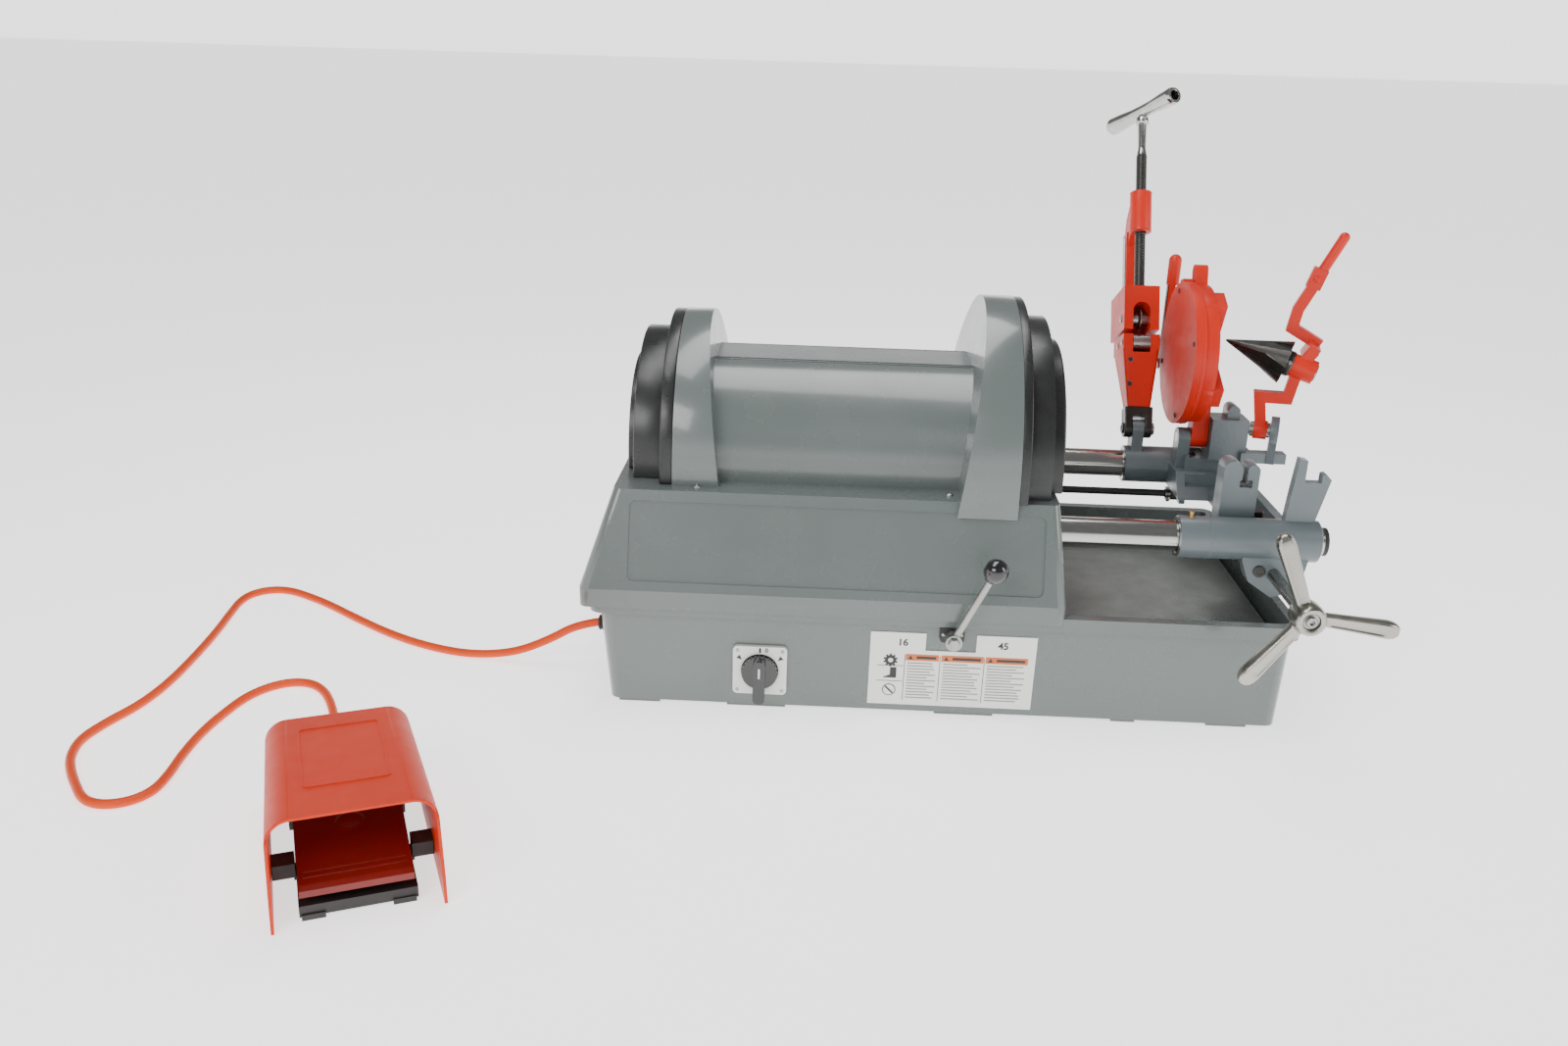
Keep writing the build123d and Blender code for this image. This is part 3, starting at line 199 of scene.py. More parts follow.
def make_materials():
    def add(key, *args, **kw):
        MATERIALS[key] = surface(key, *args, **kw)

    add("housing_paint", (0.118, 0.140, 0.134), (0.108, 0.129, 0.123), rough=(0.22, 0.30), cloud=4.0,
        grain=420,
        depth=0.00002, coat=0.5, coat_rough=0.10, worn=(0.20, 0.22, 0.215), worn_amount=0.3)
    add("cover_black", (0.012, 0.013, 0.013), (0.020, 0.020, 0.020), rough=(0.24, 0.36), grain=900,
        depth=0.00004, worn=(0.06, 0.06, 0.06), worn_amount=0.6)
    add("cast_paint", (0.115, 0.140, 0.150), (0.095, 0.118, 0.126), rough=(0.30, 0.44), grain=230,
        depth=0.00022, coat=0.25, coat_rough=0.2, worn=(0.26, 0.28, 0.28), worn_amount=0.5)
    add("frame_iron", (0.085, 0.088, 0.085), (0.060, 0.062, 0.060), rough=(0.6, 0.8), metal=0.6, grain=320,
        depth=0.0003)
    add("bronze", (0.50, 0.33, 0.14), (0.42, 0.27, 0.11), rough=(0.25, 0.38), metal=1.0, grain=600,
        depth=0.00002, stretch=(12, 1, 1))
    add("machined_steel", (0.38, 0.38, 0.365), (0.30, 0.30, 0.29), rough=(0.22, 0.36), metal=1.0, grain=500,
        depth=0.00002, stretch=(9, 1, 1), worn=(0.7, 0.7, 0.68), worn_amount=0.5, aniso=0.3)
    add("rail_chrome", (0.50, 0.50, 0.48), (0.42, 0.42, 0.405), rough=(0.12, 0.22), metal=1.0, grain=700,
        depth=0.000012, stretch=(1, 14, 14), aniso=0.4)
    add("motor_paint", (0.028, 0.034, 0.038), (0.022, 0.026, 0.03), rough=(0.4, 0.5), grain=500,
        depth=0.0001)
    add("dark_steel", (0.060, 0.059, 0.055), (0.038, 0.037, 0.034), rough=(0.28, 0.42), metal=0.85,
        grain=700,
        depth=0.00003, worn=(0.34, 0.33, 0.31), worn_amount=0.8)
    add("red_enamel", (0.62, 0.022, 0.006), (0.54, 0.017, 0.005), rough=(0.34, 0.44), grain=260,
        depth=0.00010,
        specular=0.3, worn=(0.66, 0.045, 0.018), worn_radius=0.0016, worn_amount=0.5)
    add("head_grey", (0.27, 0.265, 0.235), (0.20, 0.195, 0.17), rough=(0.34, 0.5), metal=0.75, grain=420,
        depth=0.00012, worn=(0.5, 0.5, 0.46), worn_amount=0.7)
    add("wheel_nickel", (0.42, 0.41, 0.36), (0.34, 0.33, 0.29), rough=(0.22, 0.34), metal=1.0, grain=210,
        depth=0.00012)
    add("screen_steel", (0.20, 0.21, 0.20), (0.16, 0.17, 0.16), rough=(0.34, 0.5), metal=0.7, grain=500,
        depth=0.00005)
    add("plate_white", (0.78, 0.78, 0.76), (0.74, 0.74, 0.72), rough=(0.28, 0.36), grain=900, depth=0.00002)
    add("label_white", (0.80, 0.80, 0.77), (0.76, 0.76, 0.73), rough=(0.30, 0.40), grain=300, depth=0.00002)
    add("rubber_black", (0.012, 0.012, 0.012), (0.018, 0.018, 0.018), rough=(0.45, 0.6), grain=800,
        depth=0.00008)
    add("knob_black", (0.008, 0.008, 0.009), (0.012, 0.012, 0.013), rough=(0.10, 0.18), grain=300,
        depth=0.00002, coat=0.6)
    add("guard_orange", (0.64, 0.036, 0.007), (0.60, 0.031, 0.006), rough=(0.42, 0.50), grain=520,
        depth=0.00004, specular=0.22, worn=(0.68, 0.06, 0.02), worn_amount=0.5)
    add("pedal_red", (0.20, 0.010, 0.006), (0.16, 0.008, 0.005), rough=(0.35, 0.5), grain=420, depth=0.0001,
        worn=(0.3, 0.05, 0.03), worn_amount=0.5)
    add("bracket_black", (0.014, 0.013, 0.012), (0.022, 0.018, 0.016), rough=(0.4, 0.55), grain=500,
        depth=0.0001)
    add("cord_orange", (0.72, 0.070, 0.008), (0.68, 0.062, 0.007), rough=(0.40, 0.48), grain=300,
        depth=0.00004,
        specular=0.25)
    add("print_orange", (0.62, 0.14, 0.02), (0.58, 0.13, 0.018), rough=(0.35, 0.45))
    add("print_black", (0.015, 0.015, 0.015), (0.022, 0.022, 0.022), rough=(0.35, 0.45))
    add("print_grey", (0.22, 0.22, 0.21), (0.27, 0.27, 0.26), rough=(0.35, 0.45))


# ---- mesh helpers -------------------------------------------------------------------
def add_piece(name, mesh, body, slot, material=None, place=None, bevel=0.0, segments=2, smooth_angle=35):
    if place is not None:
        mesh.transform(place)
    piece = bpy.data.objects.new(name, mesh)
    bpy.context.scene.collection.objects.link(piece)
    mesh.materials.clear()
    mesh.materials.append(MATERIALS[material or slot])
    finish_edges(piece, bevel, segments, smooth_angle)
    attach(piece, body)
    return piece


def finish_edges(piece, bevel, segments=2, smooth_angle=35):
    for polygon in piece.data.polygons:
        polygon.use_smooth = True
    piece.data.set_sharp_from_angle(angle=math.radians(smooth_angle))
    if bevel:
        modifier = piece.modifiers.new("edge", "BEVEL")
        modifier.width = bevel * MM
        modifier.segments = segments
        modifier.limit_method = "ANGLE"
        modifier.angle_limit = math.radians(30)
        modifier.harden_normals = True
        modifier.miter_outer = "MITER_ARC"


def mesh_of(name, points, faces, scale=MM):
    mesh = bpy.data.meshes.new(name)
    mesh.from_pydata([Vector(p) * scale for p in points], [], faces)
    mesh.validate()
    clean = bmesh.new()
    clean.from_mesh(mesh)
    bmesh.ops.recalc_face_normals(clean, faces=clean.faces)
    clean.to_mesh(mesh)
    clean.free()
    return mesh


def lathe(name, profile, turns=48, offset=0.0):
    """Surface of revolution about local z from (radius, z) pairs in millimetres."""
    points, faces = [], []
    for radius, z in profile:
        for step in range(turns):
            angle = 2 * math.pi * (step + offset) / turns
            points.append((radius * math.cos(angle), radius * math.sin(angle), z))
    for ring in range(len(profile) - 1):
        for step in range(turns):
            nxt = (step + 1) % turns
            faces.append((ring * turns + step, ring * turns + nxt, (ring + 1) * turns + nxt,
                          (ring + 1) * turns + step))
    if profile[0][0] > 0:
        faces.append(tuple(reversed(range(turns))))
    if profile[-1][0] > 0:
        faces.append(tuple((len(profile) - 1) * turns + step for step in range(turns)))
    return mesh_of(name, points, faces)


def prism(name, outline, low, high):
    count = len(outline)
    points = [(x, y, low) for x, y in outline] + [(x, y, high) for x, y in outline]
    faces = [tuple(reversed(range(count))), tuple(range(count, 2 * count))]
    faces += [(k, (k + 1) % count, count + (k + 1) % count, count + k) for k in range(count)]
    return mesh_of(name, points, faces)


def join_meshes(name, meshes):
    together = bmesh.new()
    for mesh in meshes:
        together.from_mesh(mesh)
        bpy.data.meshes.remove(mesh)
    joined = bpy.data.meshes.new(name)
    together.to_mesh(joined)
    together.free()
    return joined


def placed(mesh, place):
    mesh.transform(place)
    return mesh


def rectangle(width, height, radius=0.0, steps=4, cx=0.0, cy=0.0):
    if not radius:
        w, h = width / 2, height / 2
        return [(cx - w, cy - h), (cx + w, cy - h), (cx + w, cy + h), (cx - w, cy + h)]
    outline = []
    for sx, sy, start in ((1, -1, -90), (1, 1, 0), (-1, 1, 90), (-1, -1, 180)):
        for step in range(steps + 1):
            angle = math.radians(start + 90 * step / steps)
            outline.append((cx + sx * (width / 2 - radius) + radius * math.cos(angle),
                            cy + sy * (height / 2 - radius) + radius * math.sin(angle)))
    return outline


def circle(radius, steps=24, cx=0.0, cy=0.0, start=0.0):
    return [(cx + radius * math.cos(start + 2 * math.pi * k / steps),
             cy + radius * math.sin(start + 2 * math.pi * k / steps)) for k in range(steps)]


def facing(origin, x_axis, z_axis):
    """Placement in metres from an origin in millimetres and two directions."""
    z = Vector(z_axis).normalized()
    x = Vector(x_axis)
    x = (x - z * x.dot(z)).normalized()
    return Matrix.Translation(Vector(origin) * MM) @ Matrix((x, z.cross(x), z)).transposed().to_4x4()


def pan_screw(name, radius, height=2.2):
    """Domed screw head with a round recess, standing on local z = 0."""
    dome = [(radius, 0), (radius, height * 0.35), (radius * 0.92, height * 0.7), (radius * 0.66, height),
            (radius * 0.3, height), (radius * 0.16, height * 0.45), (0.01, height * 0.4)]
    return lathe(name, dome, 20)


def hex_bolt(name, across, height, washer=0.0):
    parts = [lathe(name + "_head",
                   [(across / math.sqrt(3), washer), (across / math.sqrt(3), washer + height - 0.8),
                                    (across / 2 * 0.98, washer + height), (0.01, washer + height)], 6)]
    if washer:
        parts.append(lathe(name + "_washer", [(across * 0.72, 0), (across * 0.72, washer), (0.01, washer)],
                           24))
    return join_meshes(name, parts)


def socket_bolt(name, radius, height):
    return lathe(name, [(radius, 0), (radius, height - 0.6), (radius - 0.6, height),
                        (radius * 0.55, height),
                        (radius * 0.5, height * 0.45), (0.01, height * 0.42)], 24)


# ---- shared placements --------------------------------------------------------------
CUTTER = Matrix.Translation(Vector((293, 153.6, 287)) * MM) @ Matrix.Rotation(math.radians(-25), 4, "X")
HEAD_CENTRE = Vector((0, 123.8, 404.9))
SPINDLE = Vector((0, 0, 297))
FOOT = Matrix.Translation(Vector((-647.5, -703.5, 0)) * MM) @ Matrix.Rotation(math.radians(22.83), 4, "Z")
WALL_TILT = math.atan2(10, 126)


def wall(x, z, lift=0.0):
    """Placement on the slanted front wall of the base, local z outwards."""
    out = Vector((0, -math.cos(WALL_TILT), -math.sin(WALL_TILT)))
    y = -204 - (z - 6) * math.tan(WALL_TILT)
    return facing(Vector((x, y, z)) + out * lift, (1, 0, 0), out)


# ---- cord of the floor pedal --------------------------------------------------------
CORD_ROUTE = [
    (-0.440, -0.106, 0.066),
    (-0.470, -0.105, 0.060), (-0.508, -0.104, 0.036), (-0.555, -0.101, 0.014), (-0.612, -0.096, 0.0055),
    (-0.672, -0.080, 0.0055), (-0.738, -0.045, 0.0055), (-0.806, 0.006, 0.0055), (-0.860, 0.050, 0.0055),
    (-0.905, 0.080, 0.0055), (-0.938, 0.097, 0.0055), (-0.966, 0.096, 0.0055), (-0.986, 0.078, 0.0055),
    (-0.992, 0.050, 0.0055), (-0.988, 0.010, 0.0055), (-0.979, -0.062, 0.0055), (-0.974, -0.140, 0.0055),
    (-0.972, -0.216, 0.0055), (-0.979, -0.278, 0.0055), (-0.996, -0.324, 0.0055), (-1.006, -0.368, 0.0055),
    (-0.996, -0.408, 0.0055), (-0.979, -0.438, 0.0055), (-0.958, -0.467, 0.0055), (-0.934, -0.497, 0.0055),
    (-0.909, -0.505, 0.0055), (-0.884, -0.496, 0.0055), (-0.869, -0.474, 0.0055), (-0.868, -0.440, 0.0055),
    (-0.874, -0.390, 0.0055), (-0.875, -0.336, 0.0055), (-0.869, -0.286, 0.0055), (-0.861, -0.246, 0.0055),
    (-0.845, -0.217, 0.0055), (-0.823, -0.200, 0.0055), (-0.797, -0.199, 0.0055), (-0.773, -0.217, 0.0055),
    (-0.752, -0.250, 0.0055), (-0.733, -0.290, 0.0055), (-0.715, -0.330, 0.0065), (-0.700, -0.366, 0.012),
    (-0.687, -0.399, 0.020),
    tuple(FOOT @ Vector((0.081, 0.262, 0.026))),
]


def make_cord():
    curve = bpy.data.curves.new("pedal_cord", "CURVE")
    curve.dimensions = "3D"
    spline = curve.splines.new("NURBS")
    spline.points.add(len(CORD_ROUTE) - 1)
    for point, place in zip(spline.points, CORD_ROUTE):
        point.co = (*place, 1)
    spline.order_u = 3
    spline.use_endpoint_u = True
    spline.resolution_u = 8
    curve.bevel_depth = 0.0055
    curve.bevel_resolution = 5
    curve.use_fill_caps = True
    cord = bpy.data.objects.new("pedal_cord", curve)
    bpy.context.scene.collection.objects.link(cord)
    curve.materials.append(MATERIALS["cord_orange"])
    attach(cord, "machine")
    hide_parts("foot_cord")


# ---- finishes of the CAD nodes ------------------------------------------------------
def dress_nodes():
    slots = {entry["node"]: entry["material_slot"] for entry in frame["record"]["subparts"]}
    bevels = {
        "base_tray": 2.5, "upper_housing": 7.0, "front_ring": 1.6, "rear_ring": 2.0, "front_cover": 2.5,
        "rear_cover": 2.5, "carriage_casting": 2.2, "cutter_frame": 2.0, "cutter_knuckle": 1.6,
        "wheel_block": 2.2, "die_head_body": 2.6, "cam_ring": 2.2, "die_face_plate": 0.8, "trip_lever": 2.0,
        "reamer_arm": 2.4, "foot_guard": 0.8, "foot_base": 1.2, "foot_pedal": 1.2, "switch_plate": 1.0,
        "switch_knob": 2.0, "handwheel_hub": 1.6, "t_handle": 0.8, "lever_bezel": 1.0, "foot_brackets": 0.8,
        "gear_motor": 1.5, "rail_plugs": 1.0, "front_rail": 0.8, "rear_rail": 0.8, "chuck_body": 1.0,
    }
    for name, node in NODES.items():
        for place in node.material_slots:
            place.material = MATERIALS[slots[name]]
        if not node.material_slots:
            node.data.materials.append(MATERIALS[slots[name]])
        width = bevels.get(name)
        if not width:
            continue
        weld = node.modifiers.new("weld", "WELD")
        weld.merge_threshold = 0.00002
        modifier = node.modifiers.new("edge", "BEVEL")
        modifier.width = width * MM
        modifier.segments = 3
        modifier.limit_method = "ANGLE"
        modifier.angle_limit = math.radians(32)
        modifier.harden_normals = False


# ---- base and housing details -------------------------------------------------------
SCREEN_TOP = 121.5
SCREEN_PITCH = 5.2


def make_screen():
    """Diamond embossing on the sheet of the chip screen."""
    points, faces = [], []
    half = SCREEN_PITCH * 0.46
    columns = int((409 - 153) / SCREEN_PITCH)
    rows = int((197 * 2) / SCREEN_PITCH)
    for row in range(2 * rows):
        shift = 0.5 * SCREEN_PITCH * (row % 2)
        for column in range(columns):
            x = 155 + shift + column * SCREEN_PITCH
            y = -196 + row * SCREEN_PITCH / 2 * 0.995
            start = len(points)
            points += [(x - half, y, SCREEN_TOP), (x, y - half * 0.55, SCREEN_TOP),
                       (x + half, y, SCREEN_TOP),
                       (x, y + half * 0.55, SCREEN_TOP), (x, y, SCREEN_TOP + 0.55)]
            faces += [(start + k, start + (k + 1) % 4, start + 4) for k in range(4)]
    mesh = bpy.data.meshes.new("screen_diamonds")
    mesh.from_pydata([Vector(p) * MM for p in points], [], faces)
    add_piece("screen_diamonds", mesh, "machine", "screen_steel", smooth_angle=5)


def make_housing_details():
    for name, x, y, z in (("front", 2, -166, 280), ("front_left", -306, -172, 280)):
        add_piece("ledge_screw_" + name, pan_screw("ledge_screw", 4.6, 2.6), "machine", "machined_steel",
                  place=facing((x, y, z), (1, 0, 0), (0, 0, 1)))
    for k, angle in enumerate((35, 75, 105, 145)):
        turn = math.radians(angle)
        out = Vector((0, math.cos(turn), math.sin(turn)))
        add_piece(f"cover_screw_{k}", pan_screw("cover_screw", 4.2, 2.0), "machine", "dark_steel",
                  place=facing(SPINDLE + Vector((124, 0, 0)) + out * 158, (0, 0, 1), (1, 0, 0)))
        add_piece(f"rear_screw_{k}", pan_screw("rear_screw", 4.0, 2.0), "machine", "dark_steel",
                  place=facing(SPINDLE + Vector((-388, 0, 0)) + out * 126, (0, 0, 1), (-1, 0, 0)))
    for side in (-1, 1):
        rib = prism("drum_bead", rectangle(322, 2.4, 1.1), 0, 1.3)
        add_piece(f"drum_bead_{'front' if side < 0 else 'back'}", rib, "machine", "housing_paint",
                  bevel=0.5,
                  place=facing((-132, side * 45.5, 411.8), (1, 0, 0), (0, 0, 1)))
    for k, x in enumerate((-300, -180, 60, 118)):
        add_piece(f"skirt_screw_{k}", pan_screw("skirt_screw", 4.4, 2.2), "machine", "machined_steel",
                  place=facing((x, 229, 152), (1, 0, 0), (0, 1, 0)))


def make_hose_clamp():
    band = lathe("hose_band", [(6.4, -4.2), (6.4, 4.2), (5.2, 4.2), (5.2, -4.2), (6.4, -4.2)], 40)
    barrel = placed(lathe("hose_worm", [(0.1, -5), (2.6, -5), (3.1, -4), (3.1, 4), (2.6, 5), (0.1, 5)], 20),
                    Matrix.Translation(Vector((0, -8.4, 0)) * MM) @ Matrix.Rotation(math.radians(90), 4,
                                                                                    "Y"))
    tail = placed(prism("hose_tail", rectangle(8, 2.4), -3.8, 3.8),
                  Matrix.Translation(Vector((2, 7.2, 0)) * MM))
    add_piece("hose_clamp", join_meshes("hose_clamp", [band, barrel, tail]), "carriage", "machined_steel",
              bevel=0.3,
              place=facing((345, 141, 196), (0, 1, 0), (1, 0, 0)))
    nut = hex_bolt("hose_nut", 17, 10)
    add_piece("hose_nut", nut, "carriage", "dark_steel", bevel=0.4,
              place=facing((349, 141, 196), (0, 0, 1), (1, 0, 0)))


# ---- carriage details ---------------------------------------------------------------
def make_carriage_details():
    seam = lathe("sleeve_seam", [(26.0, -1.1), (26.35, -0.7), (26.35, 0.7), (26.0, 1.1)], 72)
    add_piece("sleeve_seam", seam, "carriage", "cast_paint",
              place=facing((322, SLEEVE_Y, SLEEVE_Z), (0, 1, 0), (1, 0, 0)))
    for name, x0, y in (("front", 454.7, SLEEVE_Y), ("front_inner", 285, SLEEVE_Y),
                        ("rear_inner", 278, 153.6)):
        sign = 1 if x0 > 400 else -1
        lip = lathe("sleeve_lip", [(25.2, 0), (24.4, 0.9), (20.6, 0.9), (19.6, 0)], 72)
        add_piece("sleeve_lip_" + name, lip, "carriage", "machined_steel",
                  place=facing((x0, y, SLEEVE_Z), (0, 1, 0), (sign, 0, 0)))
    hook = bpy.data.curves.new("post_spring", "CURVE")
    hook.dimensions = "3D"
    spline = hook.splines.new("NURBS")
    places = [(366, -134.2, 315), (365.4, -135.2, 306), (366, -135.4, 299), (369.5, -135.4, 296.6),
              (372.5, -135.2, 299), (371.5, -134.8, 302)]
    spline.points.add(len(places) - 1)
    for point, place in zip(spline.points, places):
        point.co = (*(Vector(place) * MM), 1)
    spline.order_u = 3
    spline.use_endpoint_u = True
    hook.bevel_depth = 0.0011
    hook.bevel_resolution = 3
    hook.use_fill_caps = True
    spring = bpy.data.objects.new("post_spring", hook)
    bpy.context.scene.collection.objects.link(spring)
    hook.materials.append(MATERIALS["dark_steel"])
    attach(spring, "carriage")
    for k, (x, y, z, across) in enumerate(((398, -100, 246, 13), (398, 60, 246, 13), (425, 120, 266, 12))):
        add_piece(f"carriage_bolt_{k}", hex_bolt("carriage_bolt", across, 7, 1.4), "carriage", "dark_steel",
                  bevel=0.4,
                  place=facing((x, y, z), (1, 0, 0), (0, 0, 1)))
    plug = socket_bolt("apron_plug", 7.6, 2.2)
    add_piece("apron_plug", plug, "carriage", "dark_steel", bevel=0.3,
              place=facing((386, -172, 200), (1, 0, 0), (0, -1, 0)))
    for k, (x, z) in enumerate(((300, 209.2), (440, 209.2))):
        add_piece(f"sleeve_screw_{k}", socket_bolt("sleeve_screw", 4.6, 1.6), "carriage", "dark_steel",
                  bevel=0.2,
                  place=facing((x, SLEEVE_Y, z), (1, 0, 0), (0, 0, -1)))
    cup = lathe("oil_cup", [(4.2, 0), (4.2, 2), (3, 2.4), (3, 5), (3.6, 5.4), (3.6, 6.6), (2.4, 8), (0.01,
        8.3)], 24)
    add_piece("oil_cup", cup, "carriage", "bronze",
              place=facing((300, SLEEVE_Y, 260.6), (1, 0, 0), (0, 0, 1)))
    fitting = lathe("oil_spout", [(6.5, 0), (6.5, 5), (4.6, 6), (4.6, 16), (3.6, 17), (0.01, 17)], 28)
    add_piece("oil_spout", fitting, "carriage", "dark_steel", bevel=0.3,
              place=facing((364, 120, 262), (1, 0, 0), (0.3, -0.5, -0.6)))


def spoke_mesh(name):
    """Cast handle bar along local x from the hub out, with a long recess in its front and back faces."""
    stations = ((13, 8.0, 7.0, 0.0), (22, 8.0, 7.2, 0.0), (26, 8.2, 7.4, 1.0), (30, 8.4, 7.6, 1.9),
                (60, 9.4, 8.4, 1.9),
                (84, 10.4, 9.2, 1.9), (88, 10.6, 9.3, 1.0), (92, 10.7, 9.4, 0.0), (97, 10.2, 9.0, 0.0),
                (102, 8.6, 7.6, 0.0), (105.5, 5.6, 5.0, 0.0), (106.8, 2.2, 2.0, 0.0))
    shape = ((1.0, 0.0), (0.98, 0.42), (0.88, 0.78), (0.62, 0.98), (0.50, 0.94), (0.0, 0.94), (-0.50, 0.94),
             (-0.62, 0.98), (-0.88, 0.78), (-0.98, 0.42))
    ring = list(shape) + [(-x, -y) for x, y in shape]
    points, faces = [], []
    for along, half, deep, sink in stations:
        for across, out in ring:
            flat = abs(out) > 0.9 and abs(across) <= 0.5
            level = out * deep - math.copysign(sink, out) * flat
            points.append((along, across * half, level))
    count = len(ring)
    for row in range(len(stations) - 1):
        for k in range(count):
            nxt = (k + 1) % count
            faces.append((row * count + k, row * count + nxt, (row + 1) * count + nxt,
                          (row + 1) * count + k))
    faces.append(tuple(reversed(range(count))))
    faces.append(tuple((len(stations) - 1) * count + k for k in range(count)))
    return mesh_of(name, points, faces)


def make_handwheel():
    meshes = []
    for k in range(3):
        angle = math.radians(113 + 120 * k)
        out = Vector((math.cos(angle), 0, math.sin(angle)))
        meshes.append(placed(spoke_mesh("spoke"), facing((WHEEL_X, -301, WHEEL_Z), out, (0, -1, 0))))
    spokes = add_piece("wheel_spokes", join_meshes("wheel_spokes", meshes), "handwheel", "wheel_nickel",
                       smooth_angle=50)
    smooth = spokes.modifiers.new("round", "SUBSURF")
    smooth.levels = smooth.render_levels = 1
    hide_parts("handwheel_spokes")
    boss = lathe("wheel_boss", [(17.2, 0), (17.6, 3), (18.6, 8), (18.8, 20), (18.0, 27), (16.6, 31.5),
                                (15.2, 33.0),
                                (11.6, 33.0), (10.4, 32.0), (9.8, 27.5), (8.1, 27.0), (8.1, 0), (17.2, 0)],
                                72)
    hub = add_piece("wheel_boss", boss, "handwheel", "wheel_nickel", smooth_angle=40,
                    place=facing((WHEEL_X, -286, WHEEL_Z), (1, 0, 0), (0, -1, 0)))
    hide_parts("handwheel_hub")
    bolt = join_meshes("wheel_bolt", [
        lathe("wheel_washer", [(9.2, 0), (9.2, 1.2), (5.2, 1.2)], 32),
        lathe("wheel_cap", [(6.4, 1.2), (6.4, 5.2), (5.6, 6.2), (3.4, 6.2), (3.2, 2.6), (0.01, 2.6)], 32)])
    add_piece("wheel_bolt", bolt, "handwheel", "machined_steel",
              place=facing((WHEEL_X, -313, WHEEL_Z), (1, 0, 0), (0, -1, 0)))


# ---- pipe cutter details ------------------------------------------------------------
def make_cutter_details():
    turns, per_turn, pitch = 28, 4, 4.0
    low, high = 197.0, 405.0
    rows = int((high - low) / (pitch / per_turn))
    points, faces = [], []
    for row in range(rows + 1):
        z = low + (high - low) * row / rows
        for step in range(turns):
            angle = 2 * math.pi * step / turns
            phase = (z / pitch - step / turns) % 1.0
            radius = 7.95 - 1.1 * abs(2 * phase - 1)
            if z < low + 2.5 or z > high - 2.5:
                radius = min(radius, 7.0)
            points.append((radius * math.cos(angle), radius * math.sin(angle), z))
    for row in range(rows):
        for step in range(turns):
            nxt = (step + 1) % turns
            faces.append((row * turns + step, row * turns + nxt, (row + 1) * turns + nxt,
                          (row + 1) * turns + step))
    faces.append(tuple(reversed(range(turns))))
    faces.append(tuple(rows * turns + step for step in range(turns)))
    thread = mesh_of("feed_thread", points, faces)
    screw = add_piece("feed_thread", thread, "feed_screw", "dark_steel", place=CUTTER, smooth_angle=60)
    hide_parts("feed_screw")
    neck = lathe("feed_neck", [(7.0, 403), (7.0, 407), (6.0, 409), (5.7, 414), (6.2, 436), (6.5, 452), (6.5,
        469)], 40)
    add_piece("feed_neck", neck, "feed_screw", "rail_chrome", place=CUTTER, smooth_angle=60)
    collar = lathe("handle_collar", [(7.4, 449), (8.8, 450), (9.4, 453), (8.9, 457.5), (7.6, 460)], 40)
    add_piece("handle_collar", collar, "feed_screw", "rail_chrome", place=CUTTER, smooth_angle=60)
    for name, x in (("left", -1), ("right", 1)):
        for y in (-14, 14):
            head = socket_bolt("roller_pin_head", 4.9, 1.4)
            place = CUTTER @ facing((x * 25.9, y, 122), (0, 1, 0), (x, 0, 0))
            add_piece(f"roller_head_{name}_{'front' if y < 0 else 'back'}", head, "cutter",
                      "machined_steel", place=place)
        head = socket_bolt("pivot_head", 7.6, 2.6)
        add_piece("pivot_head_" + name, head, "cutter", "dark_steel", bevel=0.3,
                  place=CUTTER @ facing((x * 19.5, 0, 0), (0, 1, 0), (x, 0, 0)))
        head = socket_bolt("wheel_pin_head", 5.6, 1.6)
        add_piece("wheel_pin_head_" + name, head, "wheel_block", "machined_steel",
                  place=CUTTER @ facing((x * 25, 0, 159), (0, 1, 0), (x, 0, 0)))
    strip = prism("spine_strip", rectangle(15, 172, 2), 0, 1.0)
    for name, x in (("left", -1), ("right", 1)):
        add_piece("spine_strip_" + name, strip.copy(), "cutter", "machined_steel", bevel=0.3,
                  place=CUTTER @ facing((x * 11, 51, 208), (0, -x, 0), (x, 0, 0)))
    # Painted shade: dark steel discs laid on the frame stand in for the shade inside its two holes.
    hole = lathe("frame_hole_shade", [(3.6, 0.5), (3.2, 0.1), (2.6, 0.12), (0.01, 0.15)], 24)
    slope = math.atan2(13, 82)
    for k, z in enumerate((62, 96)):
        lift = 2 - 15 + (z - 30) * (-9 / 82) - 0.1
        add_piece(f"frame_hole_shade_{k}", hole.copy(), "cutter", "dark_steel",
                  place=CUTTER @ facing((-15, lift + 0.1, z), (1, 0, 0),
                                        (0, -math.cos(slope), -math.sin(slope))))
    cap = lathe("screw_boss_ring", [(15.5, 344.5), (15.9, 346.2), (14.6, 347.4), (9.4, 347.4), (8.4, 346)],
                48)
    add_piece("screw_boss_ring", cap, "cutter", "red_enamel", place=CUTTER, smooth_angle=50)
    cap = lathe("screw_boss_foot", [(15.5, 290.5), (15.9, 288.8), (14.6, 287.6), (9.4, 287.6), (8.4, 289)],
                48)
    add_piece("screw_boss_foot", cap, "cutter", "red_enamel", place=CUTTER, smooth_angle=50)


# ---- die head details ---------------------------------------------------------------
def head_at(x, angle, reach, out):
    turn = math.radians(angle)
    radial = Vector((0, math.cos(turn), math.sin(turn)))
    return facing(HEAD_CENTRE + Vector((x, 0, 0)) + radial * reach, radial, out)


